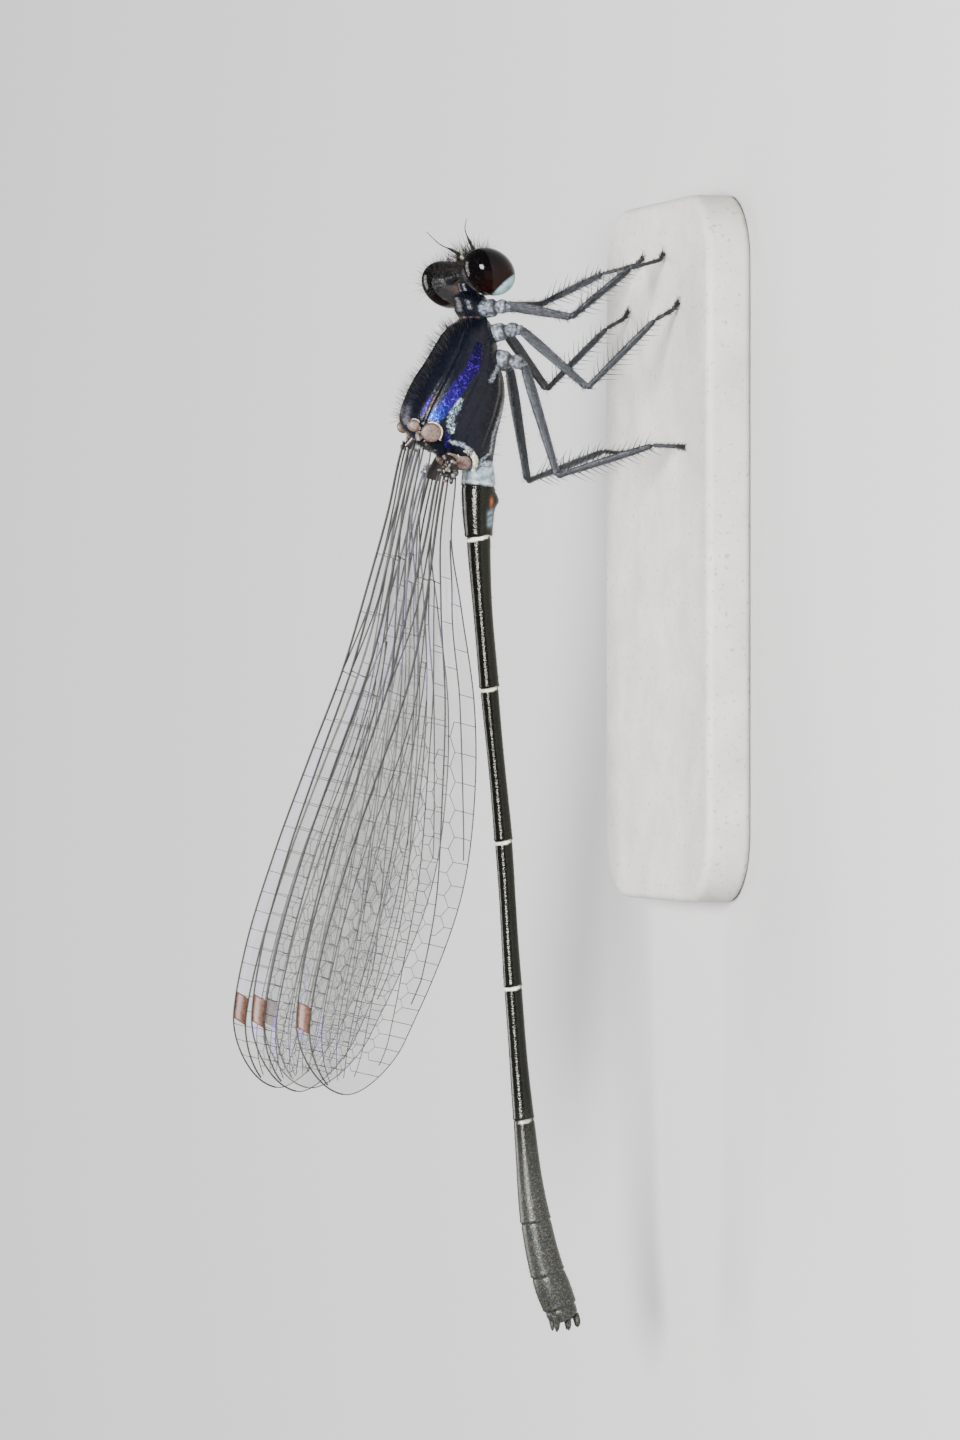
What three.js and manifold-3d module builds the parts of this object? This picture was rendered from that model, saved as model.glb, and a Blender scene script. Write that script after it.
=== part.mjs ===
// A damselfly at rest with its wings closed over its abdomen, at life size, on a plain flat base.
// Millimetres, +Z up. The head points along -Y, the tail along +Y, the insect's right side is -X.
// The origin is the middle of the base's underside.

import * as THREE from 'three';
import { mergeVertices } from 'three/addons/utils/BufferGeometryUtils.js';
import Module from 'manifold-3d';

const wasm = await Module();
wasm.setup();

// Driving dimensions. Every place on the insect is measured from the top of the base.
const GAP = 0.3;
const BASE = { width: 16, length: 30.6, thick: 2, corner: 3, bevel: 0.3 };

const HEAD = {
  centre: [0, -11.9, 8.5],
  right: [-0.937, -0.13, -0.329],
  face: [0.28, -0.81, -0.47],
};
// Rounded parts in the head's own frame, with half sizes and facets. Those off the middle come in pairs.
const BAR = { centre: [0, 0.02, 0], radii: [1.8, 0.7, 0.76], facets: [12, 8] };
const LOBE = { centre: [1.66, 0.05, 0], radii: [1.15, 0.93, 0.99], facets: [14, 10] };
const FRONS = { centre: [0, 0.42, 0.05], radii: [0.98, 0.72, 0.76], facets: [12, 8] };
const FRONT_OCELLUS = { centre: [0, 0.72, 0.72], radii: [0.17, 0.17, 0.17], facets: [6, 4] };
const SIDE_OCELLUS = { centre: [0.3, 0.42, 0.8], radii: [0.17, 0.17, 0.17], facets: [6, 4] };
const SCAPE = { centre: [0.5, 0.82, 0.42], radii: [0.24, 0.24, 0.24], facets: [6, 4] };
const NAPE = { centre: [0, -0.9, 0.02], radii: [0.8, 0.78, 0.76], facets: [10, 8] };
const LABRUM = { centre: [0, 0.86, -1.02], radii: [0.6, 0.36, 0.36], facets: [10, 6] };
const MANDIBLE = { centre: [0.52, 0.52, -1.05], radii: [0.34, 0.42, 0.4], facets: [8, 6] };
const LABIUM = { centre: [0, 0.2, -1.12], radii: [0.5, 0.42, 0.3], facets: [8, 6] };
const EYE = { centre: [1.65, -0.01, -0.03], radii: [1.04, 1.01, 1.19], facets: [14, 10] };
// The slanted plane between the head and each eye.
const EYE_CUT = { reach: 1.2, turn: 0.32, block: 6 };
const ANTENNA = {
  root: [0.5, 0.98, 0.52],
  heading: { right: [0.15, 0.6, 1.0], left: [-0.3, 1.0, 0.75] },
  bend: { right: [0.66, 1.42, 1.36], left: [-1.36, 1.4, 1.24] },
  end: { right: [0.88, 1.78, 1.68], left: [-1.9, 1.62, 1.84] },
  thick: 0.5,
  tip: 0.16,
};

const NECK = { radius: 0.34, front: [-0.08, -11.44, 8.66], rear: [-0.02, -11.18, 8.5] };
const PROTHORAX = { front: -10.9, rear: -10.24, centre: 8.36, halfWidth: 0.95, halfHeight: 0.72 };

const THORAX = {
  y: [-9.94, -9.6, -8.9, -8.2, -7.4, -6.7, -6.1, -5.6, -5.2, -4.8, -4.4, -4.0],
  top: [8.95, 9.42, 9.9, 10.33, 10.87, 11.22, 11.45, 11.52, 11.32, 10.9, 10.4, 9.75],
  bottom: [7.55, 7.4, 7.25, 7.12, 6.95, 6.9, 6.98, 7.1, 7.2, 7.28, 7.33, 7.4],
  half: [0.85, 1.22, 1.5, 1.62, 1.72, 1.76, 1.76, 1.72, 1.66, 1.55, 1.38, 1.12],
  squareness: 2.25,
  sides: 20,
};
const CARINA = { half: 0.1, rise: 0.12, from: -9.4, to: -6.0 };
const WING_PAD = { radius: 0.43, length: 1.1, clear: 0.38, inward: 0.35, drop: 0.2, taller: 0.06 };

// Wings: outline offsets from the line between root and tip, at fractions of that line.
const WING = {
  membrane: 0.24,
  ridge: 0.33,
  ridgeHalf: 0.14,
  at: [0, 0.1, 0.2, 0.35, 0.5, 0.65, 0.8, 0.88, 0.95, 0.985, 1],
};
const COLUMNS = [
  0, 0.09, 0.17, 0.21, 0.25, 0.3, 0.35, 0.4, 0.48, 0.56, 0.64, 0.72, 0.8, 0.866, 0.872,
  0.913, 0.92, 0.96, 0.985, 1,
];
// Each main vein starts at one fraction of the chord and ends at another.
const VEINS = [
  { root: 0.17, tip: 0.12 },
  { root: 0.33, tip: 0.4 },
  { root: 0.48, tip: 0.62 },
  { root: 0.63, tip: 0.79 },
  { root: 0.79, tip: 0.92 },
];
const CROSSVEINS = [0.17, 0.25, 0.35, 0.48, 0.64, 0.8];
const STIGMA = { from: 0.872, to: 0.913, half: 0.36 };
const FOREWING = {
  root: [0.95, -4.4, 10.8],
  tip: [1.9, 23.4, 16.65],
  leading: [0.45, 0.55, 0.75, 1.05, 1.7, 2.3, 2.65, 2.6, 1.95, 1.15, 0.4],
  trailing: [-0.45, -0.6, -1.35, -2.4, -2.95, -3.05, -2.8, -2.3, -1.45, -0.85, -0.3],
  bow: { at: [0, 0.12, 0.3, 0.6, 1], out: [0, -0.42, -0.5, -0.35, 0] },
};
const HINDWING = {
  root: [1.35, -3.14, 9.8],
  tip: [3.2, 23.5, 14.9],
  leading: [0.45, 0.55, 0.75, 1.05, 1.7, 2.3, 2.65, 2.6, 1.95, 1.15, 0.4],
  trailing: [-0.45, -0.65, -1.55, -2.86, -3.58, -3.74, -3.05, -2.4, -1.6, -0.9, -0.3],
  bow: { at: [0, 0.12, 0.3, 0.6, 1], out: [0, 0.24, 0.2, 0.1, 0] },
};

// Abdomen: the middle line, and each segment's joints and its half width at both ends and the middle.
const ABDOMEN = {
  y: [-3.8, -0.44, 6.02, 12.69, 19.05, 24.85, 29.3, 31.6, 33.05, 34.2],
  z: [8.03, 8.0, 7.52, 6.88, 6.45, 5.96, 5.42, 4.87, 4.33, 3.93],
};
const SEGMENTS = [
  { from: -3.7, to: -2.75, radii: [0.7, 0.74, 0.74], steps: 3 },
  { from: -2.75, to: -0.55, radii: [0.76, 0.7, 0.56], steps: 5 },
  { from: -0.55, to: 6.05, radii: [0.55, 0.46, 0.44], steps: 7 },
  { from: 6.05, to: 12.7, radii: [0.41, 0.39, 0.42], steps: 6 },
  { from: 12.7, to: 19.05, radii: [0.4, 0.385, 0.42], steps: 6 },
  { from: 19.05, to: 24.85, radii: [0.41, 0.42, 0.49], steps: 6 },
  { from: 24.85, to: 29.3, radii: [0.49, 0.56, 0.7], steps: 6 },
  { from: 29.3, to: 31.6, radii: [0.7, 0.74, 0.77], steps: 4 },
  { from: 31.6, to: 33.05, radii: [0.78, 0.79, 0.76], steps: 3 },
  { from: 33.05, to: 33.7, radii: [0.73, 0.7, 0.6], steps: 3 },
];
const HAMULE = { y: -2.1, drop: 0.6, radii: [0.34, 0.55, 0.42], facets: [10, 8] };
// Tail appendages, from the claspers down, each sunk into the last segment.
const TAIL_SUNK = 0.35;
const TAIL_LOBES = [
  { sides: [-1, 1], side: 0.4, up: 0.36, length: 0.48, inward: 0.06, thick: 0.48 },
  { sides: [-1, 1], side: 0.28, up: -0.18, length: 0.42, inward: 0, thick: 0.44 },
  { sides: [0], side: 0, up: -0.46, length: 0.24, inward: 0, thick: 0.5 },
];
const TAIL_TIP = 0.4;

// Legs: left side places, with the right side mirrored apart from its own knee.
const LEG = { coxa: 0.3, femur: 0.27, tibia: 0.25, tarsus: 0.25 };
const COXA_HIP = 0.42;
const SPINES = { radius: 0.2, length: 0.85, from: 0.08, to: 0.96, outward: 0.35, lean: 0.75, shrink: 0.35 };
const FOOT = { heelAt: 0.55, heelRise: 0.12, lower: 0.8 };
const CLAW = { length: 0.42, radius: 0.17, sunk: 0.1, spread: 0.5 };
const LEGS = {
  fore: {
    hip: [0.5, -10.52, 7.62],
    trochanter: [1.0, -10.62, 6.95],
    knee: { right: [2.6, -10.07, 4.53], left: [2.6, -10.86, 4.53] },
    ankle: [2.2, -12.25, 1.76],
    toe: [1.6, -12.95],
    spines: 5,
  },
  mid: {
    hip: [0.72, -9.45, 7.35],
    trochanter: [1.2, -9.64, 6.5],
    knee: { right: [3.3, -6.98, 4.0], left: [3.3, -7.19, 4.0] },
    ankle: [3.8, -9.94, 1.1],
    toe: [3.9, -10.7],
    spines: 6,
  },
  hind: {
    hip: [0.8, -8.3, 7.2],
    trochanter: [1.2, -8.1, 6.3],
    knee: { right: [2.45, -3.18, 5.12], left: [2.45, -3.1, 5.12] },
    ankle: [3.9, -4.49, 1.22],
    toe: [4.75, -4.4],
    spines: 6,
  },
};

// Colours from the photo.
const finish = {
  base: new THREE.MeshStandardMaterial({ color: 0xd9d4ca, roughness: 0.7, metalness: 0 }),
  black: new THREE.MeshStandardMaterial({ color: 0x14161a, roughness: 0.35, metalness: 0.1 }),
  eye: new THREE.MeshStandardMaterial({ color: 0x1d1210, roughness: 0.12, metalness: 0 }),
  slate: new THREE.MeshStandardMaterial({ color: 0x4a4f58, roughness: 0.65, metalness: 0 }),
  bronze: new THREE.MeshStandardMaterial({ color: 0x1c1e1c, roughness: 0.3, metalness: 0.35 }),
  wing: new THREE.MeshStandardMaterial({ color: 0xb9b8b0, roughness: 0.2, metalness: 0 }),
};

// Vectors and profiles
const UP = new THREE.Vector3(0, 0, 1);
const vec = (xyz) => new THREE.Vector3(...xyz);

function profile(stations, values) {
  const curve = new THREE.CubicInterpolant(stations, values, 1);
  return (at) => curve.evaluate(at)[0];
}

// Solids
function solidOf(geometry) {
  const plain = geometry.index ? geometry.clone() : geometry;
  plain.deleteAttribute('normal');
  plain.deleteAttribute('uv');
  const merged = mergeVertices(plain, 1e-4);
  return new wasm.Manifold(new wasm.Mesh({
    numProp: 3,
    vertProperties: new Float32Array(merged.attributes.position.array),
    triVerts: new Uint32Array(merged.index.array),
  }));
}

function joined(solids) {
  return solids.reduce((whole, piece) => whole.add(piece));
}

function largest(solid) {
  const pieces = solid.decompose();
  pieces.sort((a, b) => Math.abs(b.volume()) - Math.abs(a.volume()));
  return pieces[0];
}

function meshOf(name, solid, material) {
  const { vertProperties, triVerts } = largest(solid).getMesh();
  const geometry = new THREE.BufferGeometry();
  geometry.setAttribute('position', new THREE.BufferAttribute(vertProperties, 3));
  geometry.setIndex(new THREE.BufferAttribute(triVerts, 1));
  geometry.computeVertexNormals();
  const mesh = new THREE.Mesh(geometry, material);
  mesh.name = name;
  return mesh;
}

// Moves every vertex of a blank shape by a function.
function reshape(geometry, move) {
  const points = geometry.attributes.position;
  const point = new THREE.Vector3();
  for (let i = 0; i < points.count; i += 1) {
    point.fromBufferAttribute(points, i);
    move(point);
    points.setXYZ(i, point.x, point.y, point.z);
  }
  return geometry;
}

// A closed tube along a curve. wide and tall are its half sizes as functions of t from 0 to 1.
function tube(curve, { sides = 8, steps = 5, wide, tall = wide, up = UP }) {
  const blank = new THREE.CylinderGeometry(1, 1, 1, sides, steps);
  const across = new THREE.Vector3();
  const over = new THREE.Vector3();
  return solidOf(reshape(blank, (point) => {
    const t = THREE.MathUtils.clamp(0.5 - point.y, 0, 1);
    const along = curve.getTangentAt(t);
    across.crossVectors(up, along).normalize();
    over.crossVectors(along, across);
    const { x, z } = point;
    point.copy(curve.getPointAt(t));
    point.addScaledVector(across, x * wide(t)).addScaledVector(over, z * tall(t));
  }));
}

// Rounds off both ends of a tube over the given share of its length.
function rounded(t, share) {
  const inward = Math.min(1, Math.min(t, 1 - t) / share);
  return Math.sqrt(Math.max(0.2, 1 - (1 - inward) ** 2));
}

function ball(centre, radii, columns = 12, rows = 8) {
  const blank = new THREE.SphereGeometry(1, columns, rows);
  blank.scale(...radii);
  blank.translate(...centre);
  return solidOf(blank);
}

// A tapered spine from its root, sunk a little, to its tip.
function spine(root, direction, length, radius, sunk = 0.16) {
  const cone = new THREE.ConeGeometry(radius, length + sunk, 3, 1);
  cone.translate(0, (length - sunk) / 2, 0);
  cone.applyQuaternion(new THREE.Quaternion().setFromUnitVectors(
    new THREE.Vector3(0, 1, 0), direction.clone().normalize()));
  cone.translate(root.x, root.y, root.z);
  return solidOf(cone);
}

// Base
function makeBase() {
  const x = BASE.width / 2 - BASE.bevel;
  const y = BASE.length / 2 - BASE.bevel;
  const r = BASE.corner;
  const outline = new THREE.Shape();
  outline.moveTo(-x + r, -y);
  outline.lineTo(x - r, -y);
  outline.absarc(x - r, -y + r, r, -Math.PI / 2, 0);
  outline.absarc(x - r, y - r, r, 0, Math.PI / 2);
  outline.absarc(-x + r, y - r, r, Math.PI / 2, Math.PI);
  outline.absarc(-x + r, -y + r, r, Math.PI, Math.PI * 1.5);
  const plate = new THREE.ExtrudeGeometry(outline, {
    depth: BASE.thick - 2 * BASE.bevel,
    bevelThickness: BASE.bevel,
    bevelSize: BASE.bevel,
    bevelSegments: 1,
    steps: 1,
    curveSegments: 4,
  });
  plate.translate(0, 0, BASE.bevel);
  return meshOf('stand_base', solidOf(plate), finish.base);
}

// Head. Its own frame has X to the insect's right, Y out of the face and Z up through the crown.
function headPart({ centre: [x, y, z], radii, facets }, side = 1, grow = 0) {
  return ball([side * x, y, z], radii.map((radius) => radius + grow), ...facets);
}

function pair(part) {
  return [-1, 1].map((side) => headPart(part, side));
}

// A block that covers what lies outside the slanted plane between the head and an eye.
function eyeCut(side, offset) {
  const { reach, turn, block: size } = EYE_CUT;
  const block = new THREE.BoxGeometry(size, size, size);
  block.translate(side * (size / 2 + offset), 0, 0);
  block.rotateZ(side * turn);
  block.translate(side * reach, 0, 0);
  return solidOf(block);
}

function makeHead() {
  const middle = [BAR, FRONS, FRONT_OCELLUS].map((part) => headPart(part));
  const solid = joined([...middle, ...[LOBE, SIDE_OCELLUS, SCAPE].flatMap(pair)])
    .subtract(headPart(NAPE))
    .subtract(eyeCut(-1, -GAP / 2))
    .subtract(eyeCut(1, -GAP / 2));
  return meshOf('head', solid, finish.black);
}

function makeMouth() {
  const solid = joined([headPart(LABRUM), ...pair(MANDIBLE), headPart(LABIUM)])
    .subtract(headPart(FRONS, 1, GAP))
    .subtract(headPart(BAR, 1, GAP));
  return meshOf('mouthparts', solid, finish.black);
}

function makeAntenna(name, sideName, side) {
  const out = vec(ANTENNA.heading[sideName]).normalize();
  const start = mirrored(ANTENNA.root, side).addScaledVector(out, GAP);
  const bend = vec(ANTENNA.bend[sideName]);
  const curve = new THREE.CatmullRomCurve3([start, bend, vec(ANTENNA.end[sideName])]);
  const half = (t) => THREE.MathUtils.lerp(ANTENNA.thick, ANTENNA.tip, t ** 0.8) / 2;
  return meshOf(name, tube(curve, { sides: 7, steps: 5, wide: half }), finish.black);
}

function makeHeadGroup() {
  const face = vec(HEAD.face).normalize();
  const crown = new THREE.Vector3().crossVectors(vec(HEAD.right), face).normalize();
  const right = new THREE.Vector3().crossVectors(face, crown);
  const group = new THREE.Group();
  group.quaternion.setFromRotationMatrix(new THREE.Matrix4().makeBasis(right, face, crown));
  group.position.set(...HEAD.centre);
  group.add(makeHead());
  group.add(makeMouth());
  for (const [sideName, side] of [['right', 1], ['left', -1]]) {
    const eye = headPart(EYE, side).intersect(eyeCut(side, GAP / 2));
    group.add(meshOf(`eye_${sideName[0]}`, eye, finish.eye));
    group.add(makeAntenna(`antenna_${sideName[0]}`, sideName, side));
  }
  return group;
}

// Neck and thorax
function makeNeck() {
  const curve = new THREE.LineCurve3(vec(NECK.front), vec(NECK.rear));
  return meshOf('neck', tube(curve, { sides: 10, steps: 2, wide: () => NECK.radius }), finish.black);
}

function prothoraxSolid(grow) {
  const { front, rear, centre, halfWidth, halfHeight } = PROTHORAX;
  const curve = new THREE.LineCurve3(
    new THREE.Vector3(0, front - grow, centre + 0.06), new THREE.Vector3(0, rear + grow, centre));
  const lobes = (t) => 0.78 + 0.22 * Math.sin(Math.PI * (0.15 + 0.75 * t)) + 0.05 * Math.cos(6 * Math.PI * t);
  return tube(curve, {
    sides: 14,
    steps: 6,
    wide: (t) => halfWidth * lobes(t) + grow,
    tall: (t) => halfHeight * lobes(t) + grow,
  });
}

function thoraxSolid(grow) {
  const { y, top, bottom, half, squareness, sides } = THORAX;
  const topAt = profile(y, top);
  const bottomAt = profile(y, bottom);
  const halfAt = profile(y, half);
  const power = 2 / squareness;
  const blank = new THREE.CylinderGeometry(1, 1, 1, sides, y.length - 1);
  return solidOf(reshape(blank, (point) => {
    const ring = Math.round((0.5 - point.y) * (y.length - 1));
    const at = y[ring];
    const middle = (topAt(at) + bottomAt(at)) / 2;
    const high = (topAt(at) - bottomAt(at)) / 2 + grow;
    const wide = halfAt(at) + grow;
    const past = ring === 0 ? -grow : (ring === y.length - 1) * grow;
    point.set(
      -Math.sign(point.x) * Math.abs(point.x) ** power * wide,
      at + past,
      middle + Math.sign(point.z) * Math.abs(point.z) ** power * high);
  }));
}

function makeThorax() {
  const topAt = profile(THORAX.y, THORAX.top);
  const ridgePath = new THREE.CatmullRomCurve3([0, 0.35, 0.7, 1].map((t) => {
    const y = THREE.MathUtils.lerp(CARINA.from, CARINA.to, t);
    return new THREE.Vector3(0, y, topAt(y) - 0.06);
  }));
  const carina = tube(ridgePath, {
    sides: 4,
    steps: 6,
    wide: (t) => CARINA.half * 2.2 * rounded(t, 0.2),
    tall: (t) => (CARINA.rise + 0.06) * rounded(t, 0.2),
  });
  const pads = [];
  for (const side of [-1, 1]) {
    for (const wing of [FOREWING, HINDWING]) {
      const root = new THREE.Vector3(side * wing.root[0], wing.root[1], wing.root[2]);
      const tip = new THREE.Vector3(side * wing.tip[0], wing.tip[1], wing.tip[2]);
      const along = tip.sub(root).normalize();
      const end = root.clone().addScaledVector(along, -WING_PAD.clear);
      const start = end.clone().addScaledVector(along, -WING_PAD.length);
      start.x -= side * WING_PAD.inward;
      start.z -= WING_PAD.drop;
      pads.push(tube(new THREE.LineCurve3(start, end), {
        sides: 10,
        steps: 3,
        wide: (t) => WING_PAD.radius * rounded(t, 0.25),
        tall: (t) => (WING_PAD.radius + WING_PAD.taller) * rounded(t, 0.25),
      }));
    }
  }
  return meshOf('synthorax', joined([thoraxSolid(0), carina, ...pads]), finish.black);
}

// Wings
// Splits the back face's squares along the same diagonals as the front face's.
function matchDiagonals(box) {
  const back = box.groups[5];
  const index = box.index.array;
  for (let i = back.start; i < back.start + back.count; i += 6) {
    const [a, b, d, , c] = index.slice(i, i + 5);
    index.set([a, b, c, a, c, d], i);
  }
  return box;
}

// Rows across the chord: the two margins, and three for each vein with its crest in the middle.
function wingRows() {
  const rows = [{ vein: null, offset: 0, fixed: 0, crest: true }];
  for (const vein of VEINS) {
    for (const offset of [-1, 0, 1]) {
      rows.push({ vein, offset, crest: offset === 0 });
    }
  }
  rows.push({ vein: null, offset: 0, fixed: 1, crest: false });
  return rows;
}

function makeWing(name, side, wing) {
  const root = new THREE.Vector3(side * wing.root[0], wing.root[1], wing.root[2]);
  const tip = new THREE.Vector3(side * wing.tip[0], wing.tip[1], wing.tip[2]);
  const length = root.distanceTo(tip);
  const leadingAt = profile(WING.at, wing.leading);
  const trailingAt = profile(WING.at, wing.trailing);
  const bowAt = profile(wing.bow.at, wing.bow.out);
  const rows = wingRows();
  const columns = COLUMNS.length - 1;
  const blank = matchDiagonals(new THREE.BoxGeometry(1, 1, 1, columns, rows.length - 1, 1));
  reshape(blank, (point) => {
    const s = COLUMNS[Math.round((point.x + 0.5) * columns)];
    const number = Math.round((0.5 - point.y) * (rows.length - 1));
    const row = rows[number];
    const chord = leadingAt(s) - trailingAt(s);
    const ridgeShare = Math.min(WING.ridgeHalf / chord, 0.045);
    const share = row.vein
      ? THREE.MathUtils.lerp(row.vein.root, row.vein.tip, s) + row.offset * ridgeShare
      : row.fixed;
    const onStigma = number <= 2 && s >= STIGMA.from && s <= STIGMA.to;
    const crossed = number <= 2 && CROSSVEINS.includes(s);
    let half = row.crest || crossed ? WING.ridge : WING.membrane;
    if (onStigma) half = STIGMA.half;
    point.set(
      s * length,
      leadingAt(s) - share * chord,
      side * bowAt(s) + Math.sign(point.z) * half);
  });
  const mesh = meshOf(name, solidOf(blank), finish.wing);
  const along = tip.clone().sub(root).normalize();
  const outward = new THREE.Vector3().crossVectors(along, UP).normalize();
  const upward = new THREE.Vector3().crossVectors(outward, along);
  mesh.quaternion.setFromRotationMatrix(new THREE.Matrix4().makeBasis(along, upward, outward));
  mesh.position.copy(root);
  return mesh;
}

// Abdomen
const midline = profile(ABDOMEN.y, ABDOMEN.z);

function onMidline(y) {
  return new THREE.Vector3(0, y, midline(y));
}

function makeSegment(number, { from, to, radii, steps }) {
  const start = from + (number > 1 ? GAP / 2 : 0);
  const end = to - GAP / 2;
  const points = [0, 0.25, 0.5, 0.75, 1].map((t) => onMidline(THREE.MathUtils.lerp(start, end, t)));
  const curve = new THREE.CatmullRomCurve3(points);
  const half = profile([0, 0.5, 1], radii);
  const flare = (t) => half(t) + 0.03 * Math.max(0, t - 0.85) / 0.15;
  const shell = tube(curve, { sides: 12, steps, wide: flare });
  const pieces = [shell];
  if (number === 2) {
    const low = onMidline(HAMULE.y);
    low.z -= HAMULE.drop;
    pieces.push(ball(low.toArray(), HAMULE.radii, ...HAMULE.facets));
  }
  if (number === 10) pieces.push(...tailAppendages(end));
  return meshOf(`abdomen_s${number}`, joined(pieces), finish.bronze);
}

function tailAppendages(end) {
  return TAIL_LOBES.flatMap(({ sides, side, up, length, inward, thick }) => sides.map((sign) => {
    const root = onMidline(end - TAIL_SUNK).add(new THREE.Vector3(sign * side, 0, up));
    const tip = root.clone().add(new THREE.Vector3(-sign * inward, TAIL_SUNK + length, -inward));
    return tube(new THREE.LineCurve3(root, tip), {
      sides: 6,
      steps: 4,
      wide: (t) => (thick / 2) * (1 - (1 - TAIL_TIP) * t ** 3),
    });
  }));
}

// Legs
function mirrored([x, y, z = 0], side) {
  return new THREE.Vector3(side * x, y, z);
}

// How far past a joint the next length of leg starts, so that it stays clear of the one before.
function clearStart(before, joint, after, radiusBefore, radiusAfter) {
  const back = before.clone().sub(joint);
  const onward = after.clone().sub(joint);
  const bend = back.angleTo(onward);
  if (bend > Math.PI / 2) return radiusBefore + GAP - 0.05;
  return (radiusBefore + GAP + radiusAfter * Math.cos(bend)) / Math.sin(bend);
}

function lengthFrom(joint, end, offset) {
  const along = end.clone().sub(joint).normalize();
  return new THREE.LineCurve3(joint.clone().addScaledVector(along, offset), end);
}

// Two rows of bristle-like spines along a straight length, leaning to its far end.
function spineRows(curve, count) {
  const along = curve.getTangentAt(0.5);
  const front = new THREE.Vector3(0, 1, 0);
  front.addScaledVector(along, -front.dot(along)).normalize();
  const outward = new THREE.Vector3().crossVectors(along, front);
  const spines = [];
  for (const row of [-1, 1]) {
    for (let i = 0; i < count; i += 1) {
      const t = THREE.MathUtils.lerp(SPINES.from, SPINES.to, (i + (row > 0 ? 0.25 : 0)) / count);
      const lean = front.clone().multiplyScalar(row).addScaledVector(outward, SPINES.outward);
      lean.normalize().addScaledVector(along, SPINES.lean);
      const length = SPINES.length * (1 - SPINES.shrink * t) + LEG.tibia;
      spines.push(spine(curve.getPointAt(t), lean, length, SPINES.radius));
    }
  }
  return spines;
}

function makeTarsus(knee, ankle, toe) {
  const rise = GAP + LEG.tarsus * FOOT.lower;
  const tip = toe.clone().setZ(rise);
  const heel = ankle.clone().lerp(tip, FOOT.heelAt).setZ(rise + FOOT.heelRise);
  const along = heel.clone().sub(ankle).normalize();
  const clear = clearStart(knee, ankle, heel, LEG.tibia, LEG.tarsus);
  const start = ankle.clone().addScaledVector(along, clear);
  const curve = new THREE.CatmullRomCurve3([start, heel, tip]);
  const foot = tube(curve, { sides: 7, steps: 5, wide: (t) => LEG.tarsus * rounded(t, 0.12) });
  const claws = [-1, 1].map((side) => {
    const onward = tip.clone().sub(heel).setZ(0).normalize();
    const aside = new THREE.Vector3(-onward.y, onward.x, 0).multiplyScalar(side * CLAW.spread);
    return spine(tip, onward.add(aside), CLAW.length, CLAW.radius, CLAW.sunk);
  });
  const below = new THREE.BoxGeometry(40, 60, 10);
  below.translate(0, 0, GAP - 5);
  return joined([foot, ...claws]).subtract(solidOf(below));
}

function makeLeg(name, sideName, side, leg) {
  const knee = mirrored(leg.knee[sideName], side);
  const hip = mirrored(leg.hip, side);
  const trochanter = mirrored(leg.trochanter, side);
  const ankle = mirrored(leg.ankle, side);
  const toe = mirrored(leg.toe, side);
  const suffix = `${name}_${sideName[0]}`;
  let coxa = tube(new THREE.LineCurve3(hip, trochanter), {
    sides: 8,
    steps: 4,
    wide: (t) => THREE.MathUtils.lerp(COXA_HIP, LEG.coxa, t) * rounded(t, 0.3),
  });
  coxa = coxa.subtract(thoraxSolid(GAP)).subtract(prothoraxSolid(GAP));
  const femurPath = lengthFrom(
    trochanter, knee, clearStart(hip, trochanter, knee, LEG.coxa, LEG.femur));
  const femur = tube(femurPath, {
    sides: 7,
    steps: 6,
    wide: (t) => LEG.femur * (1.08 - 0.12 * t) * rounded(t, 0.07),
  });
  const tibiaPath = lengthFrom(
    knee, ankle, clearStart(trochanter, knee, ankle, LEG.femur, LEG.tibia));
  const tibia = tube(tibiaPath, { sides: 6, steps: 2, wide: () => LEG.tibia });
  return [
    meshOf(`coxa_${suffix}`, coxa, finish.slate),
    meshOf(`femur_${suffix}`, femur, finish.slate),
    meshOf(`tibia_${suffix}`, joined([tibia, ...spineRows(tibiaPath, leg.spines)]), finish.slate),
    meshOf(`tarsus_${suffix}`, makeTarsus(knee, ankle, toe), finish.slate),
  ];
}

// The whole insect stands on the top of the base.
const insect = new THREE.Group();
insect.position.z = BASE.thick;
insect.add(makeHeadGroup());
insect.add(makeNeck());
insect.add(meshOf('prothorax', prothoraxSolid(0), finish.black));
insect.add(makeThorax());
for (const [name, side] of [['r', -1], ['l', 1]]) {
  insect.add(makeWing(`forewing_${name}`, side, FOREWING));
  insect.add(makeWing(`hindwing_${name}`, side, HINDWING));
}
SEGMENTS.forEach((segment, index) => insect.add(makeSegment(index + 1, segment)));
for (const [name, leg] of Object.entries(LEGS)) {
  for (const [sideName, side] of [['right', -1], ['left', 1]]) {
    insect.add(...makeLeg(name, sideName, side, leg));
  }
}

const group = new THREE.Group();
group.add(makeBase());
group.add(insect);

export default group;
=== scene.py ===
"""A life-size damselfly at rest with closed wings, as a museum shows it, on a plain display base.

Places are in millimetres, with z measured from the top of the base. The head points along -Y,
the tail along +Y, and the insect's right side is -X.
"""

import logging
import math
from dataclasses import dataclass, field, replace
from enum import Enum, IntEnum
from typing import Callable, Sequence

import bpy
import numpy as np
from mathutils import Matrix, Vector


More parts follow.
